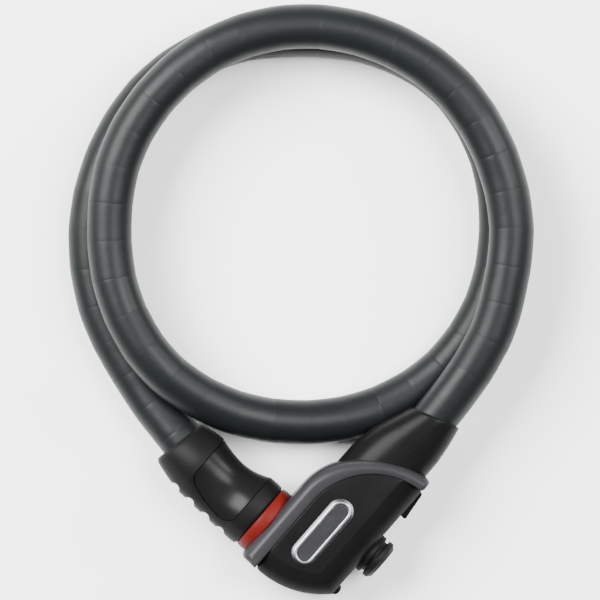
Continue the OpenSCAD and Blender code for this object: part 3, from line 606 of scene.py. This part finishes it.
def barrel_row(y):
    """One ring of the grip, and a 1 for each of its points that lies in the groove, where shade is
    painted.
    """
    ring, marks = [], []
    at_end = min(abs(y - SADDLE[0]), abs(y - SADDLE[1])) < ROW_EDGE
    for k, turn in enumerate(row_turns(y)):
        on_saddle = k < SADDLE_COLUMNS
        groove = (SADDLE[0] <= y <= SADDLE[1] and on_seam[k]) or (on_saddle and at_end)
        r = grip_radius(y, turn) - (GROOVE if groove else 0)
        x, z = r * cos(turn), r * sin(turn)
        if not on_saddle:
            x -= flank_bulge(turn)
            x += scallop_depth(y, x)
        ring.append((x, y, PLUG_Z + z))
        marks.append(float(groove))
    return ring, marks


barrel, barrel_marks = zip(*[barrel_row(y) for y in grip_rows])
seam_paint = np.concatenate(barrel_marks)
print("barrel points", len(seam_paint), "of them in the groove", int(seam_paint.sum()))

# %% [markdown]
# The cap is a soft sock that closes on the cable. It could be a piece of its own, but on the real grip it
# is one moulding with the flank, so it goes on from the barrel as more rows of the same grid. Its rings
# lean step by step toward the coil, shrink to the cable and turn in at the end, so the cable comes out of
# a soft lip.

# %% Cap of the grip
CAP_L, CAP_LEAN, CAP_OVERHANG, CAP_SHIFT, CAP_DROP = 14.6, radians(11.5), 0.4, 1.3, 1.75
OVERHANG_FADE, BULGE_LOSS = (-0.5, 0.3), 0.7
CAP_T = (0, 0.1, 0.2, 0.3, 0.5, 0.7, 0.85, 0.9, 0.94)
CAP_R = (15.1, 15.0, 14.87, 14.7, 14.25, 13.75, 13.3, 13.05, 12.75)
MOUTH_T = (0.5, 0.6, 0.7, 0.78, 0.85, 0.9, 0.94, 0.965, 0.983, 0.995, 1, 1, 1)
MOUTH_R = (12.45, 12.15, 11.75, 11.4, 10.8, 9.6)
notch = [(SCALLOPS[3][0] + side * SCALLOP_HALF - SADDLE[1]) / CAP_L for side in EDGE_SIDES]
cap_steps = np.concatenate([np.sort([0.012, 0.03, *notch, *np.arange(0.05, 0.46, 0.026)]), MOUTH_T])
cap_r = np.interp(cap_steps, CAP_T, CAP_R)
cap_r[-len(MOUTH_R):] = MOUTH_R


def cap_row(t, r):
    centre = np.array([CAP_SHIFT * t, SADDLE[1] + CAP_L * t, PLUG_Z - CAP_DROP * t * t])
    out = np.array([cos(CAP_LEAN * t), -sin(CAP_LEAN * t), 0])
    ring = []
    for turn in row_turns(SADDLE[1]):
        wide = r + CAP_OVERHANG * (1 - t) * smooth_step(*OVERHANG_FADE, cos(turn))
        p = centre + wide * (cos(turn) * out + sin(turn) * np.array([0, 0, 1]))
        p[0] -= flank_bulge(turn) * (1 - BULGE_LOSS * t)
        p[0] += scallop_depth(p[1], p[0]) if cos(turn) < 0 else 0
        ring.append(p)
    return ring


cap = [cap_row(t, r) for t, r in zip(cap_steps, cap_r)]
print("cap rows", len(cap))

# %% [markdown]
# Now the grid is split at the seam: faces on the saddle become the hard piece, all others the soft one.
# Both keep the points of the shared seam, so no gap shows between them. A flat ring closes the front.

# %% Split the grip at its seam
FRONT_HOLE = 0.6
grip_grid = np.array([*barrel, *cap])
rows, columns = grip_grid.shape[:2]
first_saddle, last_saddle = (int(np.argmin(abs(grip_rows - y))) for y in SADDLE)
soft_faces, hard_faces = [], []
for number, face in enumerate(grid_faces(rows, columns)):
    row, column = divmod(number, columns)
    on_saddle = first_saddle <= row < last_saddle and column < SADDLE_COLUMNS - 1
    (hard_faces if on_saddle else soft_faces).append(face)
inner_front = [(x * FRONT_HOLE, y, PLUG_Z + (z - PLUG_Z) * FRONT_HOLE) for x, y, z in barrel[0]]
grip_points = [*grip_grid.reshape(-1, 3), *inner_front]
start = rows * columns
soft_faces += [(k, start + k, start + (k + 1) % columns, (k + 1) % columns) for k in range(columns)]


def grip_piece(name, faces):
    used = sorted({v for face in faces for v in face})
    place = {v: i for i, v in enumerate(used)}
    faces = [tuple(place[v] for v in face) for face in faces]
    made = mesh_object(name, [grip_points[v] for v in used], faces)
    # the groove's points carry the painted shade of the seam
    paint(made, "seam", [seam_paint[v] if v < len(seam_paint) else 0 for v in used])
    face_outward(made)
    return made


grip_flank = grip_piece("grip_flank", soft_faces)
grip_saddle = grip_piece("grip_saddle", hard_faces)
dress(grip_flank, soft_black, "soft_black", "plug_end", ("grip_overmould",), crease=50)
dress(grip_saddle, gloss_black, "gloss_black", "plug_end", ("grip_core",), crease=50)

# %% [markdown]
# ## The seal ring
# A red ring sits between the grip and the lock. A torus would be too round. A ring like this is a lathe
# job: one profile, turned about the plug's axis, with flat faces and a softly swelling outer edge.


# %% Lathe
def lathe(name, profile, turn_to, sides=96):
    """Turns a profile of (radius, place). turn_to gives the point for radius, place and angle."""
    rings = [[turn_to(r, at, 2 * pi * k / sides) for k in range(sides)] for r, at in profile]
    made = mesh_object(name, rings, grid_faces(len(rings), sides))
    face_outward(made)
    return made


def about_plug(r, y, turn):
    return (r * cos(turn), y, PLUG_Z + r * sin(turn))


RING_Y, RING_BORE, RING_FACE, RING_SWELL = (24.6, 30.4), 9.2, 14.9, 1.3
SWELL_START, SWELL_STEPS = 0.12, 25
ring_mid, ring_half = (RING_Y[0] + RING_Y[1]) / 2, (RING_Y[1] - RING_Y[0]) / 2
swell = [
    (RING_FACE + RING_SWELL * sin(a) ** 0.5, ring_mid - ring_half * cos(a))
    for a in np.linspace(SWELL_START, pi - SWELL_START, SWELL_STEPS)
]
front_face, back_face = [[(RING_BORE, y), (RING_FACE, y)] for y in RING_Y]
ring_profile = [*front_face, *swell, *back_face[::-1], front_face[0]]
red_ring = lathe("red_ring", ring_profile, about_plug)
dress(red_ring, seal_red, "seal_red", "plug_end", ("seal_ring",), crease=60)

# %% [markdown]
# ## The covers of the lock
# Both covers share one outline: a straight plug side, a bend toward the sleeve, a straight bracket side
# and a rounded key end. It could be traced as a free curve, but arcs with named radii keep it the same as
# in the part's source, here with many more points.

# %% Outline of the lock
END_R, END_Y, KEY_END = 43.0, 14.5, 18.6
END_X = END_R - KEY_END
# Bends: where the first arc starts, its radius, its angle, and the radius of the second arc
BAND_BEND, COVER_BEND = (23.4, 31, 40, 54.5), (20.6, 36, 30, 35)
PLUG_SIDE, BRACKET_SIDE, COVER_SIDE = 25.5, 17.0, 16.9
LEAST_R, CORNER_R, ARC_STEPS, CORNER_STEPS = 0.8, 2.2, 22, 8


def right_arc(begin, first, last, r, steps):
    """An arc that turns right, from one heading to another, without its first point."""
    centre = np.array(begin) + r * np.array([sin(radians(first)), -cos(radians(first))])
    turns = np.radians(first + (last - first) * np.arange(1, steps + 1) / steps)
    return centre + r * np.stack([-np.sin(turns), np.cos(turns)], -1)


def outline_parts(face_y, bend, side_y, end_in, inset, tip_r):
    """Bend, tip, key end and top corner of an outline, clockwise, each as points."""
    start_x, first_r, first_turn, second_r = bend
    start_at = np.array([[start_x, face_y - inset]])
    first = right_arc(start_at[0], 0, -first_turn, first_r - inset, ARC_STEPS)
    tip, side, r2 = max(LEAST_R, tip_r - inset), -side_y + inset, second_r - inset
    centre_y = first[-1][1] - r2 * cos(radians(first_turn))
    stop = -degrees(acos((side + tip - centre_y) / (r2 - tip)))
    second = right_arc(first[-1], -first_turn, stop, r2, ARC_STEPS)
    turn = right_arc(second[-1], stop, -180, tip, CORNER_STEPS)
    r = END_R - end_in - inset
    turns = np.radians(np.linspace(degrees(acos((side - END_Y) / r)), 90, ARC_STEPS + 1))
    key_arc = np.array([END_X, END_Y]) + r * np.stack([-np.sin(turns), np.cos(turns)], -1)
    corner = max(LEAST_R, CORNER_R - inset)
    top = right_arc([END_X - r, face_y - inset - corner], 90, 0, corner, CORNER_STEPS)
    return [np.concatenate([start_at, first, second]), turn, key_arc, top]


def cover_outline(side_in, end_in, inset):
    shape = (COVER_SIDE, COVER_BEND, BRACKET_SIDE - side_in, end_in, inset, LEAST_R)
    return np.concatenate(outline_parts(*shape))


print("cover outline", np.ptp(cover_outline(0, 0, 0), axis=0).round(1), "mm")

# %% [markdown]
# A cover rises straight from the seam, then slopes in at the bracket side and the key end to a flat face.
# A block with a bevel can't lean on two sides only. Lofting the outline over a stack of heights can, with
# its own lean for each side, and tiny steps at both ends leave the seam and a soft top edge.

# %% Loft of a cover
FRONT_H, REAR_H, SEAM_GAP = 18.2, 18.96, 0.04
SIDE_H, SLOPE_W, END_SLOPE_W, SLOPE_STEPS = 10.0, 10.0, 9.5, 13
FLAT_SHARE, ROUND_SHARE = 0.55, 0.45
SLOPE_LOW, SLOPE_HIGH = 0.4, 0.15


def cover_levels(height):
    """Height above the seam, and how far the bracket side, the key end and all sides lie in."""
    levels = [(0, 0, 0, 0.25), (0.25, 0, 0, 0), (SIDE_H - 1, 0, 0, 0)]
    for t in np.linspace(0, 1, SLOPE_STEPS):
        swell_in = FLAT_SHARE * t + ROUND_SHARE * (1 - cos(t * pi / 2))
        swell_up = FLAT_SHARE * t + ROUND_SHARE * sin(t * pi / 2)
        z = SIDE_H - SLOPE_LOW + (height - SLOPE_HIGH - SIDE_H + SLOPE_LOW) * swell_up
        levels.append((z, SLOPE_W * swell_in, END_SLOPE_W * swell_in, 0))
    return levels + [(height - 0.05, SLOPE_W, END_SLOPE_W, 0.15), (height, SLOPE_W, END_SLOPE_W, 0.4)]


def upright(name, outline, levels):
    """A straight piece over an outline."""
    return loft(name, [[(x, y, z) for x, y in outline] for z in levels])


def cover(name, height, base, up):
    rings = [[(x, y, base + up * z) for x, y in cover_outline(*lean)] for z, *lean in cover_levels(height)]
    return loft(name, rings)


print("levels of a cover", len(cover_levels(FRONT_H)))

# %% [markdown]
# The mould leaves the covers open for the dust cover, its hinge, the keyhole, the plug's socket and the
# steel case. Drawing these holes into the loft would spoil its even rows, so cutters take them out
# afterwards with a Boolean, which is then made final.


# %% Cutters
def carve(made, *cutters):
    """Takes the cutters out of a piece for good, and deletes them."""
    for cutter in cutters:
        cut = made.modifiers.new("cut", "BOOLEAN")
        cut.operation, cut.solver, cut.object = "DIFFERENCE", "MANIFOLD", cutter
    bpy.context.view_layer.update()
    depsgraph = bpy.context.evaluated_depsgraph_get()
    shape = bpy.data.meshes.new_from_object(made.evaluated_get(depsgraph))
    made.modifiers.clear()
    made.data = shape
    for cutter in cutters:
        bpy.data.objects.remove(cutter)


def rod(begin, end, r, sides=64):
    """A round cutter between two points."""
    begin, end = Vector(begin), Vector(end)
    ahead = (end - begin).normalized()
    across = ahead.orthogonal().normalized()
    up = ahead.cross(across)
    turns = [2 * pi * k / sides for k in range(sides)]
    ring = [r * (cos(t) * across + sin(t) * up) for t in turns]
    return loft("cutter", [[tuple(p + q) for q in ring] for p in (begin, end)])


def end_wall(outer, inner, half, low_y, top_y, steps=40):
    """A curved wall at the key end, which leaves room for the dust cover."""
    loop = []
    for r, way_round in ((outer, 1), (inner, -1)):
        turns = [pi + asin((END_Y - y) / r) for y in np.linspace(top_y, low_y, steps)][::way_round]
        loop += [(END_X + r * cos(t), END_Y + r * sin(t)) for t in turns]
    return upright("cutter", loop, (PLUG_Z - half, PLUG_Z + half))


FLAP_HALF, FLAP_LOW, FLAP_R = 9.5, -24.0, 40.3
HINGE, HINGE_R = (-16.524, 12.0), 3.2
KEY_Y, KEY_R, SOCKET_R = -4.5, 5.3, 10.15
CASE_Z = (6.4, 28.45)
CASE_ROOM = (
    (-9.25, 15.8), (24.1, 15.8), (40.15, 8.5), (40.15, -9.1), (35, -14.15),
    (0.85, -14.15), (-3.15, -12.05), (-3.15, 2.9), (-9.25, 2.9),
)  # fmt: skip


def window_cutters():
    return [
        end_wall(END_R + 1, FLAP_R, FLAP_HALF, FLAP_LOW, HINGE[1]),
        rod((*HINGE, PLUG_Z - FLAP_HALF), (*HINGE, PLUG_Z + FLAP_HALF), HINGE_R),
        rod((-20, KEY_Y, PLUG_Z), (-2.9, KEY_Y, PLUG_Z), KEY_R),
        upright("cutter", CASE_ROOM, CASE_Z),
        rod((0, 3.4, PLUG_Z), (0, 20, PLUG_Z), SOCKET_R),
    ]


print("window of the dust cover", 2 * FLAP_HALF, "mm high, room of the case", np.ptp(CASE_Z), "mm high")

# %% [markdown]
# The front cover has a shallow oval seat for the badge. The rear cover has three sunk screws. Apart from
# that, they are the same loft, once upward and once downward from the seam.

# %% Front and rear cover
BADGE_AT, BADGE_L, BADGE_W, SEAT_Z, SEAT_GAP = (13.2, 4.6), 34.2, 9.8, (36.2, 37.6), 0.3
SCREWS, SCREW_R, HEAD_DEPTH = ((13, 5.4, 1), (33, -8.6, 3.9), (32, 10, 1)), 2.45, 1.6


def stadium(grow, steps=24):
    """Points of an oval with straight sides, round the badge's place."""
    r = BADGE_W / 2 + grow
    half = (BADGE_L - BADGE_W) / 2
    right = [(half + r * cos(t), r * sin(t)) for t in np.linspace(-pi / 2, pi / 2, steps)]
    return [(BADGE_AT[0] + x, BADGE_AT[1] + y) for x, y in right + [(-x, -y) for x, y in right]]


badge_seat = upright("cutter", stadium(SEAT_GAP), SEAT_Z)
front = cover("cover_front", FRONT_H, PLUG_Z, 1)
carve(front, *window_cutters(), badge_seat)
dress(front, hard_black, "hard_black", "lock_body", ("front_cover",), crease=28)

rear = cover("cover_rear", REAR_H, PLUG_Z - SEAM_GAP, -1)
screw_holes = [rod((x, y, -1), (x, y, deep + HEAD_DEPTH), SCREW_R, 40) for x, y, deep in SCREWS]
carve(rear, *window_cutters(), *screw_holes)
dress(rear, hard_black, "hard_black", "lock_body", ("rear_cover",), crease=28)

# %% [markdown]
# ## The grey band
# The band runs round the plug side and the sleeve side like a bumper. A curve with one fixed profile
# would keep its width, but the real band narrows toward its tail. So every station has an outer point and
# an inner point, and the profile is stretched between them.

# %% Stations of the band
STATIONS, TAIL_R = 150, 1.6
BAND_START, BAND_TIP_R, TIP_POINTS, BAND_GAP, TUCK = 18.9, 2.2, 6, 0.15, 0.9


def even(points, count):
    """As many evenly spread points along a way, which stops short by the round of the tail."""
    lengths = np.concatenate([[0], np.cumsum(np.linalg.norm(np.diff(points, axis=0), axis=1))])
    at = np.linspace(0, lengths[-1] - TAIL_R, count)
    return np.stack([np.interp(at, lengths, points[:, axis]) for axis in (0, 1)], -1)


bend, tip, _, top = outline_parts(PLUG_SIDE, BAND_BEND, BRACKET_SIDE, 0, 0, BAND_TIP_R)
outer_way = even(np.concatenate([[(-KEY_END, BAND_START)], top, bend, tip[:TIP_POINTS]]), STATIONS)
inner_y = COVER_SIDE + BAND_GAP
bend = outline_parts(inner_y, COVER_BEND, BRACKET_SIDE + TUCK, 0, 0, LEAST_R)[0]
inner_way = even(np.concatenate([[(-KEY_END + BAND_GAP, inner_y)], bend]), STATIONS)
widths = np.linalg.norm(outer_way - inner_way, axis=1)
print("the band is", widths.min().round(1), "to", widths.max().round(1), "mm wide")

# %% [markdown]
# In the profile a flat facet leans out, a ridge with a painted highlight follows, and a second facet falls
# to the black cover. The tail closes with a few rings that shrink along a quarter circle, and then the
# plug's socket and the seat of the red ring are cut.

# %% Sweep of the band
BAND_MIDDLE, TAIL_TURNS, TAIL_NARROW, TAIL_LOW = 19.4, (25, 45, 65, 80, 90), 0.5, 0.1
RING_SEAT_Y, RING_SEAT_R = 24.3, 16.5
# Upper half of the profile: share from outside to inside, height, and how strongly the highlight is
# painted on the ridge
BAND_PROFILE = np.array([
    (0, 11, 0), (0.012, 13.2, 0.1), (0.06, 15.1, 0.25), (0.15, 16.6, 0.45), (0.26, 17.5, 0.6),
    (0.36, 18.08, 0.7), (0.44, 18.4, 0.8), (0.5, 18.54, 0.8), (0.56, 18.6, 0.6), (0.66, 18.56, 0.3),
    (0.8, 18.4, 0.15), (0.92, 18.2, 0.05), (0.97, 18.05, 0), (1, 17.7, 0),
])  # fmt: skip
profile = np.concatenate([BAND_PROFILE, (BAND_PROFILE * (1, -1, 1))[::-1]])
band_rings = [
    [(*(o + (i - o) * u), BAND_MIDDLE + z) for u, z, ridge_highlight_share in profile]
    for o, i in zip(outer_way, inner_way)
]
last_ring = np.array(band_rings[-1])
ring_middle = last_ring.mean(axis=0)
onward = ring_middle - np.array(band_rings[-2]).mean(axis=0)
onward /= np.linalg.norm(onward)
for a in np.radians(TAIL_TURNS):
    shrink = 1 - np.array([TAIL_NARROW, TAIL_NARROW, TAIL_LOW]) * (1 - cos(a))
    band_rings.append(ring_middle + (last_ring - ring_middle) * shrink + onward * TAIL_R * sin(a))
band = loft("grey_band", band_rings)
# the ridge's painted highlight is stored on the band's points
paint(band, "ridge", np.tile(profile[:, 2], len(band_rings)))
socket = rod((0, 15, PLUG_Z), (0, 27, PLUG_Z), SOCKET_R)
ring_seat = rod((0, RING_SEAT_Y, PLUG_Z), (0, 27, PLUG_Z), RING_SEAT_R, 96)
carve(band, socket, ring_seat)
dress(band, band_grey, "band_grey", "lock_body", ("trim_band",), crease=40, edge=0.5)

# %% [markdown]
# ## The sleeve of the cable
# The sleeve is wide and flat where it leaves the lock and round at its mouth, and its mouth slants with
# the coil. A plain cone can't do both, so each ring is an ellipse with its own place, turn and size. The
# columns between two angles stand a little higher, which gives the pair of moulded lines along the front.

# %% Rings of the sleeve
# Middle, turn, half width and half height of each ring
SLEEVE_RINGS = (
    (41.2, 3.3, 19.2, 0, 16.9, 12.6), (47.5, 3.1, 20.1, 1, 17.0, 13.0),
    (54.3, 2.9, 21.0, 2.5, 17.0, 13.4), (61.8, 2.3, 22.0, 5.5, 16.6, 13.3),
    (67.6, 1.75, 22.7, 9.2, 16.1, 13.1), (72, 1.2, 23.3, 11.2, 15.1, 12.8),
    (76.35, 0.75, 23.8, 12.9, 14.1, 12.5), (80.5, 0.35, 24.4, 15.2, 12.95, 12.2),
    (83.6, 0.1, 24.8, 16.6, 12.1, 11.9), (84.6, 0.05, 24.93, 17, 11.8, 11.75),
    (85.0, 0, 25.0, 17, 11.35, 11.35), (85.05, 0, 25.0, 17, 10.75, 10.75),
    (84.8, 0, 24.96, 17, 10.25, 10.25), (80, 0, 24.33, 17, 10.2, 10.2),
)  # fmt: skip
RIB_EDGES, RIB_SOFT, RIB_X, RIB_LIFT = (93.0, 106.0), 0.9, (45, 84), 0.1
rib_turns = [edge + side * RIB_SOFT for edge in RIB_EDGES for side in (-1, 1)]
sleeve_turns = np.unique([*np.arange(0, 360, 5.0), *rib_turns])


def sleeve_ring(x, y, z, yaw, half_w, half_h):
    lean = radians(yaw)
    across = np.array([-sin(lean), cos(lean), 0])
    ring = []
    for turn in sleeve_turns:
        on_rib = RIB_EDGES[0] < turn < RIB_EDGES[1] and RIB_X[0] < x < RIB_X[1]
        lift = RIB_LIFT if on_rib else 0
        a = radians(turn)
        up = np.array([0, 0, (half_h + lift) * sin(a)])
        ring.append(np.array([x, y, z]) + (half_w + lift) * cos(a) * across + up)
    return ring


boot = loft("cable_sleeve", [sleeve_ring(*ring) for ring in SLEEVE_RINGS])
dress(boot, hard_black, "hard_black", "lock_body", ("cable_boot",), crease=45)

# %% [markdown]
# ## Stud, lug, thumb lip and badge
# The stud snaps into a bracket on a bicycle frame, whose clip drops into the groove behind its head. It
# is round, so the lathe of the seal ring makes it too, about an axis across the lock.

# %% Stud
STUD_X = 20
STUD_PROFILE = [
    (3.6, -1.5), (9.4, -1.5), (9.4, 0.3), (9.6, 0.5), (9.6, 2.2), (9.3, 2.6), (8.2, 2.65),
    (8.0, 2.85), (8.0, 4.0), (8.2, 4.2), (9.3, 4.25), (9.6, 4.5), (9.6, 6.2), (9.5, 6.5),
    (7.8, 8.0), (7.4, 8.2), (3.9, 8.2), (3.6, 7.9), (3.6, -1.5),
]  # fmt: skip


def about_stud(r, out, turn):
    return (STUD_X + r * cos(turn), -BRACKET_SIDE - out, PLUG_Z + r * sin(turn))


stud = lathe("stud", STUD_PROFILE, about_stud)
dress(stud, soft_black, "hard_black", "lock_body", ("bracket_stud",), crease=25, edge=0.2)

# %% [markdown]
# The lug beside the stud keeps the lock from turning in its bracket. It is part of the cover's moulding,
# but a block of its own with rounded edges is easier to place, and its foot is hidden in the cover.

# %% Lug
LUG_PLAN, LUG_Z = ((41.5, -14), (41.5, -19.9), (55.4, -18.3), (55.4, -14)), (13, 25)
lug = upright("bracket_lug", LUG_PLAN, LUG_Z)
dress(lug, hard_black, "hard_black", "lock_body", crease=30, edge=1.0)

# %% [markdown]
# A thumb opens the dust cover by its lip, a plain bar in the solid. A bevel would only soften the bar, so
# a fuller bow is lofted round it. It rides on the dust cover, and so it swings with it.

# %% Thumb lip of the dust cover
LIP_AT, LIP_HALF, LIP_OUT, LIP_BOW = (-2.3, -17.06), 2.45, 1.8, 0.8
LIP_FOOT = [(-4.3, -16.4), (-2.2, -16.4), (-2.2, LIP_AT[1])]
LIP_ENDS = ((5.4, 0.5), (5.3, 0.75), (5.0, 0.93), (4.5, 1))
lip_levels = [(-z, scale) for z, scale in LIP_ENDS] + [*LIP_ENDS[::-1]]


def lip_section(scale):
    """A soft bow outside the bracket side, closed inside the flap."""
    half, out = LIP_HALF * scale, LIP_OUT * scale
    turns = np.linspace(0, pi, 17)
    return [(LIP_AT[0] + half * cos(t), LIP_AT[1] - out * sin(t) ** LIP_BOW) for t in turns] + LIP_FOOT


lip_rings = [[(x, y, PLUG_Z + z) for x, y in lip_section(scale)] for z, scale in lip_levels]
lip = loft("thumb_lip", lip_rings)
dress(lip, hard_black, "hard_black", "dust_cover", crease=50)

# %% [markdown]
# The badge is a silver frame round an oval plate. A bevelled curve would round it evenly, but the frame
# has a bright rim, and painted shade darkens the foot outside it. Its profile is listed from inside to
# outside, as how far each oval grows, its height and how strongly shade is painted on it.

# %% Badge
BEZEL_PROFILE = (
    (-1.5, 36.3, 0), (-1.5, 37.5, 0), (-1.38, 37.7, 0), (-1.1, 37.8, 0), (-0.6, 37.82, 0),
    (-0.25, 37.74, 0.1), (-0.05, 37.6, 0.5), (0.15, 37.48, 0.9), (0.75, 37.4, 1), (0.98, 37.33, 1),
    (1.1, 37.22, 1), (1.0, 37.12, 1), (0.1, 36.3, 1),
)  # fmt: skip
bezel_rings = np.array([[(x, y, z) for x, y in stadium(grow)] for grow, z, dark in BEZEL_PROFILE])
bezel = mesh_object("silver_bezel", bezel_rings, grid_faces(*bezel_rings.shape[:2]))
# painted shade on the frame's foot, from the profile's third column
paint(bezel, "foot", np.repeat([dark for grow, z, dark in BEZEL_PROFILE], bezel_rings.shape[1]))
face_outward(bezel)
dress(bezel, bezel_silver, "silver", "lock_body", ("badge_bezel",), crease=50)

# %% [markdown]
# ## Solids that stay
# Pieces inside the lock, and others whose solid is already right, keep it and only get a finish. Where
# an edge shows, a bevel modifier rounds it and leaves the mesh as it was.

# %% Finishes of the solids
BRASS = ("cylinder_sleeve", "cylinder_core", "detainer_discs")
STEEL = (
    "cover_screws", "stud_screw", "socket_bush", "plug_bolt", "lock_case", "case_plate",
    "disc_spacers", "sidebar", "drive_cam", "latch", "latch_spring", "dust_cover_pin",
    "cable_ferrule", "anchor_pin", "bolt_pin",
)  # fmt: skip
ROUNDED = {"dust_cover": 0.4, "socket_bush": 0.4, "plug_bolt": 0.3}
stays = {"badge_plate": badge_grey, "dust_cover": hard_black}
stays |= dict.fromkeys(BRASS, turned_brass) | dict.fromkeys(STEEL, turned_steel)
for node, finish in stays.items():
    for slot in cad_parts[node].material_slots:
        slot.material = finish
for node, width in ROUNDED.items():
    round_edges(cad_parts[node], width, angle=40, segments=2, harden=False)
print("solids with a finish:", len(stays), "with rounded edges:", len(ROUNDED))

# %% [markdown]
# ## Floor and light
# The lock lies on plain pale paper, a hair below the solids. A plane without a pattern is enough, since
# nothing of it should catch the eye.

# %% Floor
FLOOR_HALF, FLOOR_Z = 3000, -0.3
PAPER_DARK, PAPER_LIGHT = (0.93, 0.93, 0.93), (0.95, 0.95, 0.95)
corners = [(x * FLOOR_HALF, y * FLOOR_HALF, FLOOR_Z) for x, y in ((-1, -1), (1, -1), (1, 1), (-1, 1))]
floor = mesh_object("floor", corners, [(0, 1, 2, 3)])
paper = Finish("pale_paper", Roughness=0.9)
cloud = paper.noise(scale=3, detail=2)
floor.data.materials.append(paper.show(Base_Color=paper.mix(cloud, PAPER_DARK, PAPER_LIGHT)))
print("floor", 2 * FLOOR_HALF * MM, "m wide")

# %% [markdown]
# Black pieces show their shape by reflections alone, so the lights are large and each draws one streak.
# The key light stands at the upper left of the picture. A small, low one at the right picks out the far
# side of the strands, and a soft one high up at the right lifts the tops. A sun would give hard shadows
# and no streaks, so all three are area lights, with a faint glow from all round.

# %% Lights
LIGHT_TARGET = (0.085, 0.08, 0.02)
# Place in metres, width in metres and watts
LIGHTS = {
    "key_light": ((-0.165, 1.25, 1.34), 1.1, 150),
    "kick_light": ((1.28, -0.4, 0.8), 0.4, 16),
    "top_light": ((1.05, -0.55, 2.3), 1.2, 125),
}
GLOW_COLOUR, GLOW_STRENGTH = (0.95, 0.97, 1, 1), 0.1

for name, (place, size, watts) in LIGHTS.items():
    lamp = bpy.data.objects.new(name, bpy.data.lights.new(name, "AREA"))
    lamp.data.size, lamp.data.energy = size, watts
    lamp.location = place
    lamp.rotation_euler = (Vector(LIGHT_TARGET) - Vector(place)).to_track_quat("-Z", "Y").to_euler()
    bpy.context.collection.objects.link(lamp)
world = bpy.data.worlds.new("studio")
bpy.context.scene.world = world
world.use_nodes = True
glow = world.node_tree.nodes["Background"].inputs
glow["Color"].default_value, glow["Strength"].default_value = GLOW_COLOUR, GLOW_STRENGTH
